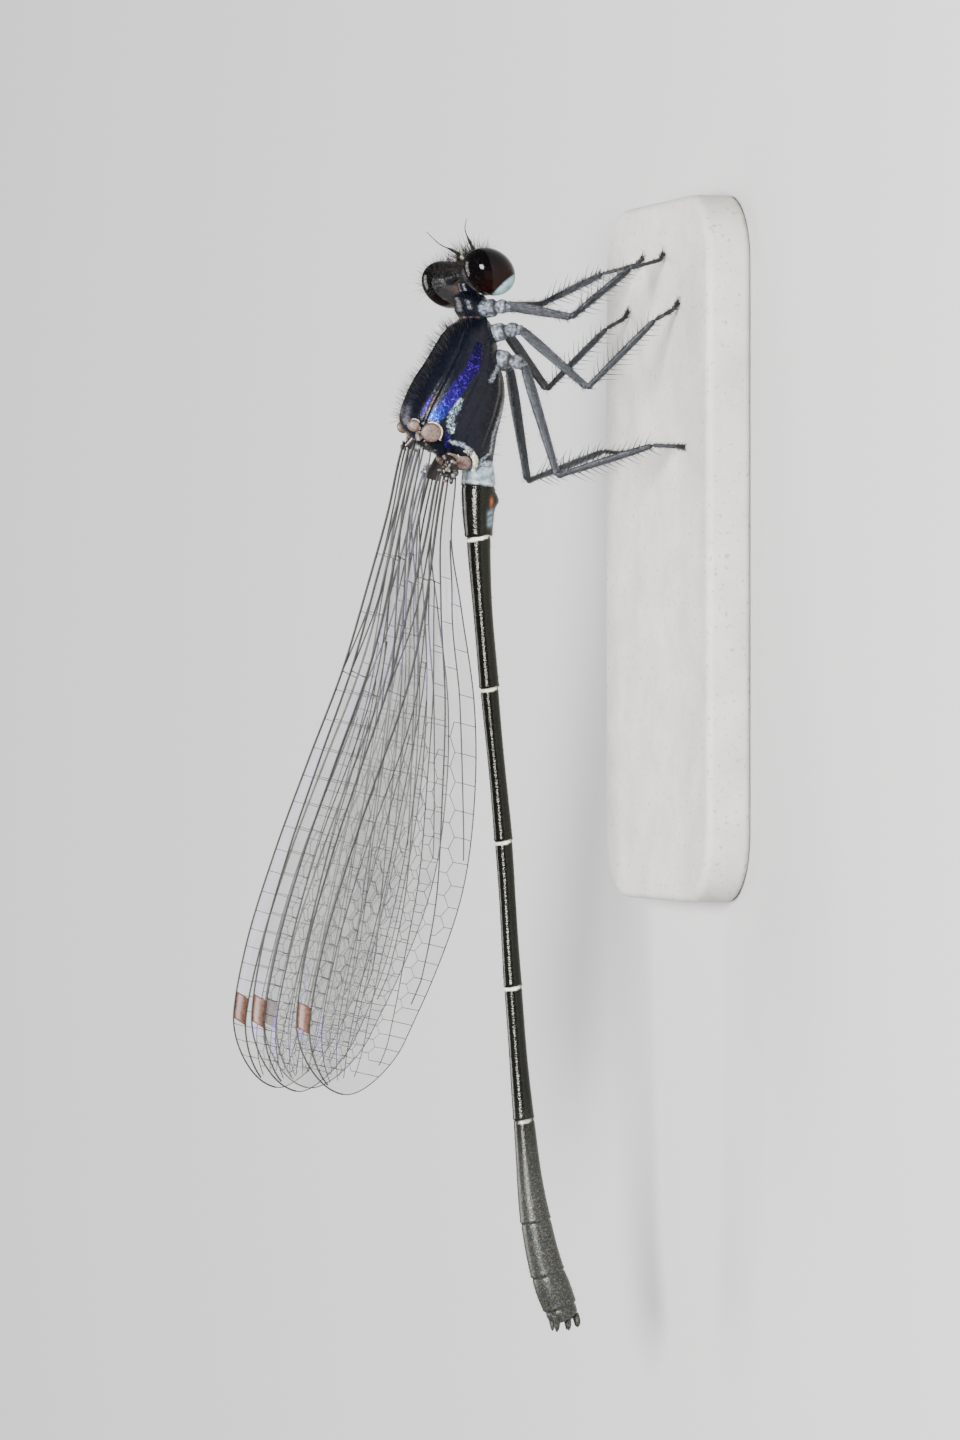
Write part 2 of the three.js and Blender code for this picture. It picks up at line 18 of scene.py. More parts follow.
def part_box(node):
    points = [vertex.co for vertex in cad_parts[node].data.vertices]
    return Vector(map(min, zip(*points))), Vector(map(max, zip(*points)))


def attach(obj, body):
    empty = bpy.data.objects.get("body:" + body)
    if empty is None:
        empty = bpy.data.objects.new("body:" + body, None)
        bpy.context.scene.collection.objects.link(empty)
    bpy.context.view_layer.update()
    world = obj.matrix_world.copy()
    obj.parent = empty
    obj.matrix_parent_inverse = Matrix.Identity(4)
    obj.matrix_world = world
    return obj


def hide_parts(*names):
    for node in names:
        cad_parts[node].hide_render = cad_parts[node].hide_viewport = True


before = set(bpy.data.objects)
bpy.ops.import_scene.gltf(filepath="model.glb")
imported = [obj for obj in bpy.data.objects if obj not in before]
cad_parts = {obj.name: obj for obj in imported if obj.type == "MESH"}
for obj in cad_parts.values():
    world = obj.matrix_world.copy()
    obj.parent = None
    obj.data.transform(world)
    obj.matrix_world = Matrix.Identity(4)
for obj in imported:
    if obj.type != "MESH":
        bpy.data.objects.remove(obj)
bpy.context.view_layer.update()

LOG = logging.getLogger("damselfly")
MM = 0.001
BODY = "root"
BASE_LOW, BASE_HIGH = (np.array(corner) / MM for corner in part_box("stand_base"))
BASE_TOP = float(BASE_HIGH[2])
UP = np.array([0.0, 0.0, 1.0])
TO_HEAD = (0.0, -0.25, 0.1)
RNG = np.random.default_rng(7)

# The photo looks at the right side, a little from above: this tilt turns places into its view.
CAMERA_TILT = math.radians(15)
Profile = Callable[[np.ndarray], np.ndarray]
Triple = tuple[float, float, float]
Line = tuple[tuple[float, float], ...]
Colour = tuple[float, float, float]
Stops = tuple[tuple[float, Colour | float], ...]


class Side(Enum):
    """A side of the insect, with its word, its letter in node names and its sign along X."""

    RIGHT = ("right", "r", -1.0)
    LEFT = ("left", "l", 1.0)

    @property
    def word(self) -> str:
        """The side as a word."""
        return self.value[0]

    @property
    def letter(self) -> str:
        """The side's letter in the names of the nodes."""
        return self.value[1]

    @property
    def sign(self) -> float:
        """The sign of the side's X."""
        return self.value[2]


def unit(vector: np.ndarray) -> np.ndarray:
    """The vectors along the last axis at length one."""
    vector = np.asarray(vector, float)
    return vector / np.maximum(np.linalg.norm(vector, axis=-1, keepdims=True), 1e-12)


def smooth(low: float, high: float, value: np.ndarray) -> np.ndarray:
    """A smooth step from 0 at low to 1 at high."""
    t = np.clip((value - low) / (high - low), 0, 1)
    return t * t * (3 - 2 * t)


def profile(stations: Sequence[float], values: Sequence[float]) -> Profile:
    """A smooth curve through values at stations.

    Args:
        stations: Where the values hold, rising.
        values: One value for each station.

    Returns:
        A function that gives the curve's value at each place.
    """
    x, y = np.array(stations, float), np.array(values, float)
    slope = np.gradient(y, x)

    def at(place: np.ndarray) -> np.ndarray:
        """The curve's value, held level past both ends.

        Args:
            place: Where the value is wanted.

        Returns:
            The values.
        """
        place = np.clip(place, x[0], x[-1])
        i = np.clip(np.searchsorted(x, place) - 1, 0, len(x) - 2)
        step = x[i + 1] - x[i]
        t = (place - x[i]) / step
        start = (1 + 2 * t) * (1 - t) ** 2 * y[i] + t * (1 - t) ** 2 * step * slope[i]
        end = t * t * (3 - 2 * t) * y[i + 1] + t * t * (t - 1) * step * slope[i + 1]
        return start + end

    return at


def side_height(points: np.ndarray) -> np.ndarray:
    """How high points stand in the photo's side view, with the left side mirrored onto the right."""
    return points[..., 2] * math.cos(CAMERA_TILT) - np.abs(points[..., 0]) * math.sin(CAMERA_TILT)


def line_distance(points: np.ndarray, line: Line) -> tuple[np.ndarray, np.ndarray]:
    """How far flat points are from a line of straight lengths.

    Args:
        points: Places, as rows of two numbers.
        line: The line's corners.

    Returns:
        The distances, and how far along the line the nearest place is, from 0 to 1.
    """
    corners = np.array(line, float)
    best = np.full(len(points), np.inf)
    along = np.zeros(len(points))
    lengths = np.linalg.norm(np.diff(corners, axis=0), axis=1)
    starts = np.concatenate([[0], np.cumsum(lengths)])
    for i, (a, b) in enumerate(zip(corners[:-1], corners[1:])):
        t = np.clip(((points - a) @ (b - a)) / max(lengths[i] ** 2, 1e-9), 0, 1)
        distance = np.linalg.norm(points - a - t[:, None] * (b - a), axis=1)
        nearer = distance < best
        best = np.where(nearer, distance, best)
        along = np.where(nearer, (starts[i] + t * lengths[i]) / starts[-1], along)
    return best, along


@dataclass
class Shape:
    """Points and faces of a piece, with named tones and an unwrap at each point."""

    points: np.ndarray
    faces: list[tuple[int, ...]]
    tones: dict[str, np.ndarray] = field(default_factory=dict)
    unwrap: np.ndarray | None = None
    slots: list[int] | None = None

    def normals(self) -> np.ndarray:
        """The outward direction at each point.

        Returns:
            A row of three for each point.
        """
        out = np.zeros_like(self.points)
        for size in {len(face) for face in self.faces}:
            rows = np.array([face for face in self.faces if len(face) == size])
            a, b, c = (self.points[rows[:, i]] for i in (0, 1, size - 1))
            flat = np.cross(b - a, c - a)
            for i in range(size):
                np.add.at(out, rows[:, i], flat)
        return unit(out)

    def bare(self) -> "Shape":
        """The same shape without its unwrap."""
        return replace(self, unwrap=None)

    def in_slot(self, slot: int) -> "Shape":
        """The same shape with all its faces in one material slot."""
        return replace(self, slots=[int(slot)] * len(self.faces))

    def build(self, name: str, materials: Sequence[bpy.types.Material]) -> bpy.types.Object:
        """Makes the piece's object.

        Args:
            name: The piece's name.
            materials: Its materials, in the order of the slots.

        Returns:
            The object, in metres in the shared frame.
        """
        mesh = bpy.data.meshes.new(name)
        places = (self.points + [0, 0, BASE_TOP]) * MM
        mesh.from_pydata(places.tolist(), [], [tuple(int(i) for i in face) for face in self.faces])
        for tone, values in self.tones.items():
            layer = mesh.attributes.new(tone, "FLOAT", "POINT")
            layer.data.foreach_set("value", np.asarray(values, np.float32))
        if self.unwrap is not None:
            corners = np.empty(len(mesh.loops), np.int32)
            mesh.loops.foreach_get("vertex_index", corners)
            layer = mesh.uv_layers.new(name="OFBake")
            layer.data.foreach_set("uv", self.unwrap[corners].astype(np.float32).ravel())
        for material in materials:
            mesh.materials.append(material)
        if self.slots is not None:
            mesh.polygons.foreach_set("material_index", np.array(self.slots, np.int32))
        mesh.polygons.foreach_set("use_smooth", np.ones(len(mesh.polygons), bool))
        mesh.validate()
        mesh.update()
        piece = bpy.data.objects.new(name, mesh)
        bpy.context.scene.collection.objects.link(piece)
        return piece


def merged(shapes: Sequence[Shape]) -> Shape:
    """One shape of several, each keeping its slot numbers, tones and unwrap.

    Args:
        shapes: The shapes. Where one has no unwrap, the whole has none.

    Returns:
        The whole.
    """
    points, faces, slots, unwraps = [], [], [], []
    names = {tone for shape in shapes for tone in shape.tones}
    tones = {tone: [] for tone in names}
    start = 0
    for shape in shapes:
        points.append(shape.points)
        faces += [tuple(i + start for i in face) for face in shape.faces]
        slots += shape.slots if shape.slots is not None else [0] * len(shape.faces)
        for tone in names:
            tones[tone].append(shape.tones.get(tone, np.zeros(len(shape.points))))
        if shape.unwrap is not None:
            unwraps.append(shape.unwrap)
        start += len(shape.points)
    unwrap = np.concatenate(unwraps) if len(unwraps) == len(shapes) else None
    joined_tones = {tone: np.concatenate(values) for tone, values in tones.items()}
    return Shape(np.concatenate(points), faces, joined_tones, unwrap, slots)


def ring_quads(rings: int, sides: int) -> list[tuple[int, ...]]:
    """The faces between neighbouring rings of points.

    Args:
        rings: How many rings there are.
        sides: Points round each ring.

    Returns:
        The faces, each as its points' numbers.
    """
    return [
        (i * sides + j, i * sides + (j + 1) % sides, (i + 1) * sides + (j + 1) % sides, (i + 1) * sides + j)
        for i in range(rings - 1)
        for j in range(sides)
    ]


def closed_rings(rings: int, sides: int) -> list[tuple[int, ...]]:
    """The faces between neighbouring rings of points, with a lid on the first ring and the last.

    Args:
        rings: How many rings there are.
        sides: Points round each ring.

    Returns:
        The faces, each as its points' numbers.
    """
    first = tuple(range(sides - 1, -1, -1))
    last = tuple((rings - 1) * sides + j for j in range(sides))
    return [*ring_quads(rings, sides), first, last]


def grid_quads(columns: int, rows: int) -> list[tuple[int, ...]]:
    """The faces of a sheet of points.

    Args:
        columns: Points along the sheet.
        rows: Points across it.

    Returns:
        The faces, each as its points' numbers.
    """
    return [
        (i * rows + j, i * rows + j + 1, (i + 1) * rows + j + 1, (i + 1) * rows + j)
        for i in range(columns - 1)
        for j in range(rows - 1)
    ]


def around(sides: int) -> np.ndarray:
    """The angles of the points round a ring."""
    return np.linspace(0, 2 * math.pi, sides, endpoint=False)


def section(sides: int, power: float) -> tuple[np.ndarray, np.ndarray]:
    """The outline of a ring whose half sizes are one.

    Args:
        sides: Points round it.
        power: 2 for a circle, more for a squarer outline.

    Returns:
        How far across and how far up each point is.
    """
    angle = around(sides)
    across, up = (np.sign(v) * np.abs(v) ** (2 / power) for v in (np.cos(angle), np.sin(angle)))
    return across, up


def path_frames(path: np.ndarray, up: np.ndarray) -> tuple[np.ndarray, np.ndarray]:
    """The directions across and over a path at each of its points.

    Args:
        path: The path's points.
        up: The direction that lies nearest to over.

    Returns:
        The directions across and over.
    """
    along = unit(np.gradient(path, axis=0))
    across = unit(np.cross(np.broadcast_to(up, along.shape), along))
    return across, np.cross(along, across)


def loft(
    path: np.ndarray,
    wide: np.ndarray,
    tall: np.ndarray,
    sides: int = 24,
    up: np.ndarray = UP,
    power: float = 2.0,
) -> Shape:
    """A closed skin round a path.

    Args:
        path: The middle of each ring.
        wide: Each ring's half width across the path.
        tall: Each ring's half height over it.
        sides: Points round each ring.
        up: The direction that the rings' tops face.
        power: 2 for an ellipse, more for a squarer section.

    Returns:
        The skin, with its unwrap.
    """
    across, over = path_frames(path, up)
    x, y = section(sides, power)
    wide, tall = (np.broadcast_to(v, len(path)).astype(float) for v in (wide, tall))
    points = path[:, None] + across[:, None] * (wide[:, None] * x)[..., None]
    points = points + over[:, None] * (tall[:, None] * y)[..., None]
    u, v = np.meshgrid(np.arange(sides) / sides, np.linspace(0, 1, len(path)))
    unwrap = np.stack([u.ravel(), v.ravel()], 1) * 0.98 + 0.01
    return Shape(points.reshape(-1, 3), closed_rings(len(path), sides), {}, unwrap)


def rounding(t: np.ndarray, start: float, end: float, least: float) -> np.ndarray:
    """A share that rounds off the start and the end of a skin.

    Args:
        t: Stations along the skin, from 0 to 1.
        start: The share of its length that its start is rounded over, or 0.
        end: The same for its end.
        least: The share at the very ends.

    Returns:
        A share from least to 1 for each station.
    """
    near = np.minimum(t / start, 1) if start else np.ones_like(t)
    far = np.minimum((1 - t) / end, 1) if end else np.ones_like(t)
    inward = np.minimum(near, far)
    return np.sqrt(np.maximum(least**2, 1 - (1 - inward) ** 2))


def spread(count: int, both: bool = True) -> np.ndarray:
    """Stations from 0 to 1, closer together near both rounded ends, or near the far end only."""
    t = np.linspace(0, 1, count)
    return 0.5 - 0.5 * np.cos(math.pi * t) if both else np.sin(math.pi / 2 * t)


def ball(
    centre: Sequence[float],
    radii: Sequence[float],
    basis: np.ndarray | None = None,
    fine: int = 24,
) -> Shape:
    """A rounded body with three half sizes.

    Args:
        centre: Its middle.
        radii: Its half sizes along the basis.
        basis: Rows of three directions, or None for X, Y and Z.
        fine: Points round it.

    Returns:
        The closed skin.
    """
    rings = fine // 2 + 1
    fall = np.linspace(0, math.pi, rings)[:, None]
    angle = around(fine)
    radius = np.maximum(np.sin(fall), 0.02)
    height = np.broadcast_to(-np.cos(fall), (rings, fine))
    points = np.stack([radius * np.cos(angle), height, -radius * np.sin(angle)], -1)
    basis = np.eye(3) if basis is None else basis
    placed = np.array(centre) + (points.reshape(-1, 3) * np.array(radii)) @ basis
    return Shape(placed, closed_rings(rings, fine))


def fused(shapes: Sequence[Shape], voxel: float, passes: int) -> Shape:
    """One smooth skin round several overlapping shapes.

    Args:
        shapes: The closed shapes.
        voxel: The size of the skin's faces, in millimetres.
        passes: How often the skin is smoothed.

    Returns:
        The skin.
    """
    whole = merged(shapes)
    mesh = bpy.data.meshes.new("blank")
    mesh.from_pydata(whole.points.tolist(), [], whole.faces)
    blank = bpy.data.objects.new("blank", mesh)
    bpy.context.scene.collection.objects.link(blank)
    remesh = blank.modifiers.new("remesh", "REMESH")
    remesh.mode = "VOXEL"
    remesh.voxel_size = voxel
    soften = blank.modifiers.new("soften", "SMOOTH")
    soften.iterations = passes
    done = blank.evaluated_get(bpy.context.evaluated_depsgraph_get()).to_mesh()
    points = np.empty(len(done.vertices) * 3)
    done.vertices.foreach_get("co", points)
    faces = [tuple(polygon.vertices) for polygon in done.polygons]
    bpy.data.objects.remove(blank)
    return Shape(points.reshape(-1, 3), faces)


def hairs(
    roots: np.ndarray,
    heads: np.ndarray,
    lengths: np.ndarray,
    radius: np.ndarray,
    unwrap: np.ndarray,
    droop: np.ndarray | None = None,
    joints: int = 4,
    taper: float = 0.88,
) -> Shape:
    """Thin tapered hairs as closed meshes.

    Args:
        roots: Where each hair starts.
        heads: The direction that each one grows in.
        lengths: Each one's length.
        radius: Each one's radius at the root.
        unwrap: Each root's place on the skin's unwrap.
        droop: How far each one's tip bends away, as a vector, or None.
        joints: Rings along each hair.
        taper: How much thinner each hair's tip is than its root.

    Returns:
        The hairs, with a patch of the unwrap for each.
    """
    count, sides = len(roots), 3
    t = np.linspace(0, 1, joints)
    heads = unit(heads)
    helper = np.where(np.abs(heads[:, 2:3]) > 0.8, [[1.0, 0, 0]], [[0, 0, 1.0]])
    across = unit(np.cross(helper, heads))
    over = np.cross(heads, across)
    middle = roots[:, None] + heads[:, None] * (t[None, :, None] * lengths[:, None, None])
    if droop is not None:
        middle = middle + droop[:, None] * (t**2)[None, :, None]
    size = radius[:, None] * (1 - taper * t[None] ** 1.3)
    angle = np.arange(sides) * 2 * math.pi / sides
    ring = across[:, None, None] * np.cos(angle)[None, None, :, None]
    ring = ring + over[:, None, None] * np.sin(angle)[None, None, :, None]
    points = middle[:, :, None] + ring * size[:, :, None, None]
    block = joints * sides
    starts = np.arange(count)[:, None, None] * block
    quads = (np.array(ring_quads(joints, sides))[None] + starts).reshape(-1, 4)
    ends = np.array([[2, 1, 0], [block - 3, block - 2, block - 1]])
    caps = (ends[None] + starts).reshape(-1, 3)
    patch = np.stack(np.meshgrid(np.arange(sides) / 2 - 0.5, t - 0.5), -1).reshape(1, block, 2) * 0.003
    spots = (np.clip(unwrap, 0.003, 0.997)[:, None] + patch).reshape(-1, 2)
    faces = [tuple(row) for row in quads.tolist()] + [tuple(row) for row in caps.tolist()]
    return Shape(points.reshape(-1, 3), faces, {}, spots)


@dataclass(frozen=True)
class Coat:
    """How hairs grow: how many, how long, how thick at the root, and how far their directions stray."""

    count: int
    span: tuple[float, float]
    radius: float
    stray: float = 0.25
    lean: Triple = (0.0, 0.0, 0.0)
    sway: float = 0.06
    joints: int = 4

    def on(self, skin: Shape, where: np.ndarray) -> Shape:
        """Hairs on part of a skin.

        Args:
            skin: The skin, with its unwrap.
            where: How readily hairs grow at each of its points, or whether they do.

        Returns:
            The hairs.
        """
        weight = where.astype(float)
        chosen = RNG.choice(len(weight), self.count, p=weight / weight.sum())
        normals = skin.normals()[chosen]
        heads = normals + self.stray * RNG.normal(size=(self.count, 3)) + self.lean
        lengths = RNG.uniform(*self.span, self.count)
        droop = self.sway * RNG.normal(size=(self.count, 3)) * lengths[:, None]
        roots = skin.points[chosen] - normals * 0.015
        thick = np.full(self.count, self.radius)
        return hairs(roots, heads, lengths, thick, skin.unwrap[chosen], droop, self.joints)


class Graph:
    """The nodes of one procedural material, built round a Principled shader."""

    def __init__(self, name: str) -> None:
        """Starts a plain material.

        Args:
            name: Its name.
        """
        self.material = bpy.data.materials.new(name)
        self.material.use_nodes = True
        self.tree = self.material.node_tree
        self.shader = next(n for n in self.tree.nodes if n.type == "BSDF_PRINCIPLED")
        self.place = self.add("ShaderNodeTexCoord").outputs["Object"]

    def add(self, kind: str, **settings: object) -> bpy.types.Node:
        """A new node.

        Args:
            kind: Its kind, in Blender's word.
            settings: What is set on it, by name.

        Returns:
            The node.
        """
        node = self.tree.nodes.new(kind)
        for key, value in settings.items():
            setattr(node, key, value)
        return node

    def feed(self, socket: bpy.types.NodeSocket, value: object) -> None:
        """Links a socket, or sets a plain value on it.

        Args:
            socket: The socket.
            value: Another socket, or a value.
        """
        if isinstance(value, bpy.types.NodeSocket):
            self.tree.links.new(value, socket)
        elif isinstance(value, tuple) and len(value) == 3 and socket.type == "RGBA":
            socket.default_value = (*value, 1)
        else:
            socket.default_value = value

    def set(self, **inputs: object) -> None:
        """Feeds the shader's inputs, named with underscores for spaces."""
        for key, value in inputs.items():
            self.feed(self.shader.inputs[key.replace("_", " ")], value)

    def tone(self, name: str) -> bpy.types.NodeSocket:
        """A named tone of the mesh."""
        return self.add("ShaderNodeAttribute", attribute_name=name).outputs["Fac"]

    def noise(self, size: float, detail: float = 3, rough: float = 0.55) -> bpy.types.NodeSocket:
        """Cloudy noise.

        Args:
            size: How wide its lumps are, in millimetres.
            detail: How many finer layers it has.
            rough: How strong those layers are.

        Returns:
            The noise.
        """
        node = self.add("ShaderNodeTexNoise")
        self.feed(node.inputs["Vector"], self.place)
        node.inputs["Scale"].default_value = 1 / (size * MM)
        node.inputs["Detail"].default_value = detail
        node.inputs["Roughness"].default_value = rough
        return node.outputs["Fac"]

    def cells(self, size: float, output: str = "Distance") -> bpy.types.NodeSocket:
        """Round cells.

        Args:
            size: How wide they are, in millimetres.
            output: Which of their outputs is wanted.

        Returns:
            That output.
        """
        node = self.add("ShaderNodeTexVoronoi")
        self.feed(node.inputs["Vector"], self.place)
        node.inputs["Scale"].default_value = 1 / (size * MM)
        return node.outputs[output]

    def maths(self, kind: str, a: object, b: object = 0.0, c: object = 0.0) -> bpy.types.NodeSocket:
        """One step of arithmetic.

        Args:
            kind: The kind of step, in Blender's word.
            a: Its first value or socket.
            b: Its second.
            c: Its third, where the kind takes one.

        Returns:
            The step's result.
        """
        node = self.add("ShaderNodeMath", operation=kind)
        for socket, value in zip(node.inputs, (a, b, c)):
            self.feed(socket, value)
        return node.outputs[0]

    def ramp(self, value: object, *stops: tuple[float, object]) -> bpy.types.NodeSocket:
        """A colour or grey for each stop along a value.

        Args:
            value: The value.
            stops: Where each stop is, with its colour or grey.

        Returns:
            The colour.
        """
        node = self.add("ShaderNodeValToRGB")
        self.feed(node.inputs[0], value)
        marks = node.color_ramp.elements
        while len(marks) < len(stops):
            marks.new(0.5)
        for mark, (at, colour) in zip(marks, stops):
            mark.position = at
            mark.color = (*colour, 1) if isinstance(colour, tuple) else (colour, colour, colour, 1)
        return node.outputs[0]

    def mix(self, share: object, a: object, b: object, kind: str = "MIX") -> bpy.types.NodeSocket:
        """One colour laid over another.

        Args:
            share: How much of the second shows.
            a: The first colour.
            b: The second.
            kind: How they are laid, in Blender's word.

        Returns:
            The colour.
        """
        node = self.add("ShaderNodeMix", data_type="RGBA", blend_type=kind)
        self.feed(node.inputs[0], share)
        self.feed(node.inputs[6], a)
        self.feed(node.inputs[7], b)
        return node.outputs[2]

    def blend(self, share: object, a: object, b: object) -> bpy.types.NodeSocket:
        """One number turned into another.

        Args:
            share: How much of the second there is.
            a: The first number.
            b: The second.

        Returns:
            The number.
        """
        node = self.add("ShaderNodeMix", data_type="FLOAT")
        self.feed(node.inputs[0], share)
        self.feed(node.inputs[2], a)
        self.feed(node.inputs[3], b)
        return node.outputs[0]

    def bump(self, height: object, depth: float, strength: float = 1.0) -> bpy.types.NodeSocket:
        """A relief.

        Args:
            height: Its height, from 0 to 1.
            depth: Its depth in millimetres.
            strength: How strongly it shows.

        Returns:
            The bent normal.
        """
        node = self.add("ShaderNodeBump")
        self.feed(node.inputs["Height"], height)
        node.inputs["Distance"].default_value = depth * MM
        node.inputs["Strength"].default_value = strength
        return node.outputs["Normal"]


@dataclass(frozen=True)
class SmallPart:
    """A small part's finish: two shades in fine patches, with a faint grain."""

    name: str
    low: Colour
    high: Colour
    patch: float
    rough: float
    gloss: float = 0.5

    def material(self) -> bpy.types.Material:
        """The finish as a material.

        Returns:
            The material.
        """
        g = Graph(self.name)
        patches = g.noise(self.patch)
        g.set(Base_Color=g.ramp(patches, (0.35, self.low), (0.65, self.high)), Specular_IOR_Level=self.gloss)
        g.set(Roughness=g.blend(patches, self.rough, self.rough + 0.15))
        g.set(Normal=g.bump(g.noise(0.05), 0.006, 0.6))
        return g.material


@dataclass(frozen=True)
class SmallParts:
    """The finishes of the veins, the wing bases, the hairs, the spines and the simple eyes."""

    vein: SmallPart = SmallPart("wing_vein", (0.004, 0.004, 0.004), (0.014, 0.012, 0.011), 0.3, 0.5)
    stigma: SmallPart = SmallPart("wing_stigma", (0.05, 0.018, 0.01), (0.13, 0.052, 0.03), 0.12, 0.4)
    plate: SmallPart = SmallPart("wing_base_plate", (0.05, 0.029, 0.022), (0.14, 0.09, 0.068), 0.1, 0.35)
    cream: SmallPart = SmallPart("cream_rim", (0.16, 0.14, 0.1), (0.62, 0.6, 0.5), 0.12, 0.3)
    pale: SmallPart = SmallPart("pale_sclerite", (0.012, 0.014, 0.016), (0.26, 0.27, 0.27), 0.08, 0.2)
    light_hair: SmallPart = SmallPart(
        "light_hair", (0.016, 0.014, 0.011), (0.05, 0.045, 0.035), 0.5, 0.5, 0.15)
    dark_hair: SmallPart = SmallPart("dark_hair", (0.006, 0.006, 0.007), (0.022, 0.02, 0.017), 0.5, 0.5, 0.15)
    ocellus: SmallPart = SmallPart("ocellus", (0.2, 0.17, 0.12), (0.4, 0.36, 0.3), 0.2, 0.08)
    hinge: SmallPart = SmallPart("wing_hinge", (0.003, 0.0025, 0.0025), (0.014, 0.01, 0.009), 0.1, 0.25)
    pale_spine: SmallPart = SmallPart("pale_spine", (0.03, 0.03, 0.032), (0.11, 0.11, 0.11), 0.3, 0.4)


@dataclass(frozen=True)
class HeadCuticle:
    """Black head cuticle with a grey bloom behind, radial streaks and brown by the neck."""

    black: Stops = ((0.3, (0.002, 0.002, 0.003)), (0.75, (0.01, 0.01, 0.012)))
    grey: Stops = ((0.12, (0.002, 0.002, 0.003)), (0.5, (0.028, 0.027, 0.027)))
    brown: Colour = (0.1, 0.055, 0.045)
    pale: Colour = (0.14, 0.17, 0.18)
    streaks: float = 52.0
    gloss: float = 0.25

    def material(self) -> bpy.types.Material:
        """The finish as a material.

        Returns:
            The material.
        """
        g = Graph("head_cuticle")
        patches = g.noise(0.12, 4)
        wobble = g.maths("MULTIPLY", g.noise(0.25), 7.0)
        turns = g.maths("ADD", g.maths("MULTIPLY", g.tone("angle"), self.streaks), wobble)
        streak = g.maths("MULTIPLY_ADD", g.maths("SINE", turns), 0.5, 0.5)
        grey = g.ramp(g.maths("MULTIPLY", streak, patches), *self.grey)
        colour = g.mix(g.tone("bloom"), g.ramp(patches, *self.black), grey)
        worn = g.ramp(g.noise(0.1), (0.35, 0.1), (0.6, 1.0))
        colour = g.mix(g.maths("MULTIPLY", g.tone("brown"), worn), colour, self.brown)
        colour = g.mix(g.tone("pale"), colour, self.pale)
        g.set(Base_Color=colour, Roughness=g.blend(g.tone("bloom"), 0.32, 0.5), Specular_IOR_Level=self.gloss)
        height = g.maths("ADD", g.cells(0.045), g.maths("MULTIPLY", streak, g.tone("bloom")))
        g.set(Normal=g.bump(height, 0.012, 0.7))
        return g.material


@dataclass(frozen=True)
class EyeGlaze:
    """Glossy black-brown eye with fine facets and a pale blue patch below."""

    dark: Stops = ((0.0, (0.0015, 0.0012, 0.0014)), (1.0, (0.007, 0.0018, 0.0012)))
    pale: Stops = ((0.3, (0.12, 0.22, 0.25)), (0.7, (0.36, 0.5, 0.53)))
    facet: float = 0.03
    gloss: float = 0.13

    def material(self) -> bpy.types.Material:
        """The finish as a material.

        Returns:
            The material.
        """
        g = Graph("eye_glaze")
        pale = g.ramp(g.noise(0.3), *self.pale)
        g.set(Base_Color=g.mix(g.tone("pale"), g.ramp(g.tone("low"), *self.dark), pale))
        g.set(Roughness=g.blend(g.tone("pale"), 0.06, 0.25), Specular_IOR_Level=self.gloss)
        g.set(Normal=g.bump(g.cells(self.facet), 0.0012, 0.5))
        return g.material


@dataclass(frozen=True)
class ThoraxCuticle:
    """Black cuticle with blue metal stripes with painted glints, a painted violet sheen along the back, a
    painted silvery sheen, gold and pale bloom.
    """

    black: Stops = ((0.3, (0.0012, 0.0015, 0.003)), (0.8, (0.004, 0.005, 0.012)))
    blue: Stops = (
        (0.0, (0.006, 0.003, 0.035)), (0.3, (0.024, 0.007, 0.13)), (0.75, (0.026, 0.009, 0.2)),
        (0.93, (0.016, 0.028, 0.28)), (1.0, (0.014, 0.055, 0.36)))
    grain_and_painted_glints: Stops = ((0.14, 0.2), (0.36, 0.6), (0.5, 3.4))
    silver: Stops = ((0.14, (0.006, 0.02, 0.03)), (0.3, (0.08, 0.15, 0.19)), (0.42, (0.75, 0.8, 0.84)))
    pale: Stops = ((0.38, (0.03, 0.04, 0.055)), (0.62, (0.4, 0.45, 0.52)))
    brown: Stops = ((0.3, (0.07, 0.035, 0.03)), (0.7, (0.26, 0.15, 0.12)))
    gold: Colour = (0.4, 0.27, 0.1)
    metal: float = 0.75
    gloss: float = 0.2

    def material(self) -> bpy.types.Material:
        """The finish as a material.

        Returns:
            The material.
        """
        g = Graph("thorax_cuticle")
        grain = g.noise(0.16, 4)
        # Grain in the blue stripes, partly real, with painted glints where bright cells lift the colour.
        sparkle = g.maths("MULTIPLY", g.cells(0.036, "Color"), g.noise(0.14))
        blue = g.mix(1.0, g.ramp(g.tone("reach"), *self.blue), g.ramp(sparkle, *self.grain_and_painted_glints), "MULTIPLY")
        # Painted silvery sheen: glinting bright metal colour where light glances off the side.
        glint = g.maths("MULTIPLY", g.cells(0.05, "Color"), g.noise(0.15))
        colour = g.mix(g.tone("stripe"), g.ramp(grain, *self.black), blue)
        colour = g.mix(g.tone("silver"), colour, g.ramp(glint, *self.silver))
        colour = g.mix(g.tone("gold"), colour, self.gold)
        colour = g.mix(g.tone("bloom"), colour, g.ramp(g.noise(0.09, 5), *self.pale))
        colour = g.mix(g.tone("brown"), colour, g.ramp(grain, *self.brown))
        metal = g.maths("MAXIMUM", g.tone("stripe"), g.tone("silver"))
        g.set(Base_Color=colour, Metallic=g.maths("MULTIPLY", metal, self.metal))
        rough = g.blend(g.tone("bloom"), g.blend(metal, 0.24, 0.4), 0.55)
        fine = g.maths("ADD", g.cells(0.05), g.maths("MULTIPLY", g.noise(0.1, 4), 0.7))
        g.set(Roughness=rough, Specular_IOR_Level=self.gloss, Normal=g.bump(fine, 0.012, 0.6))
        return g.material


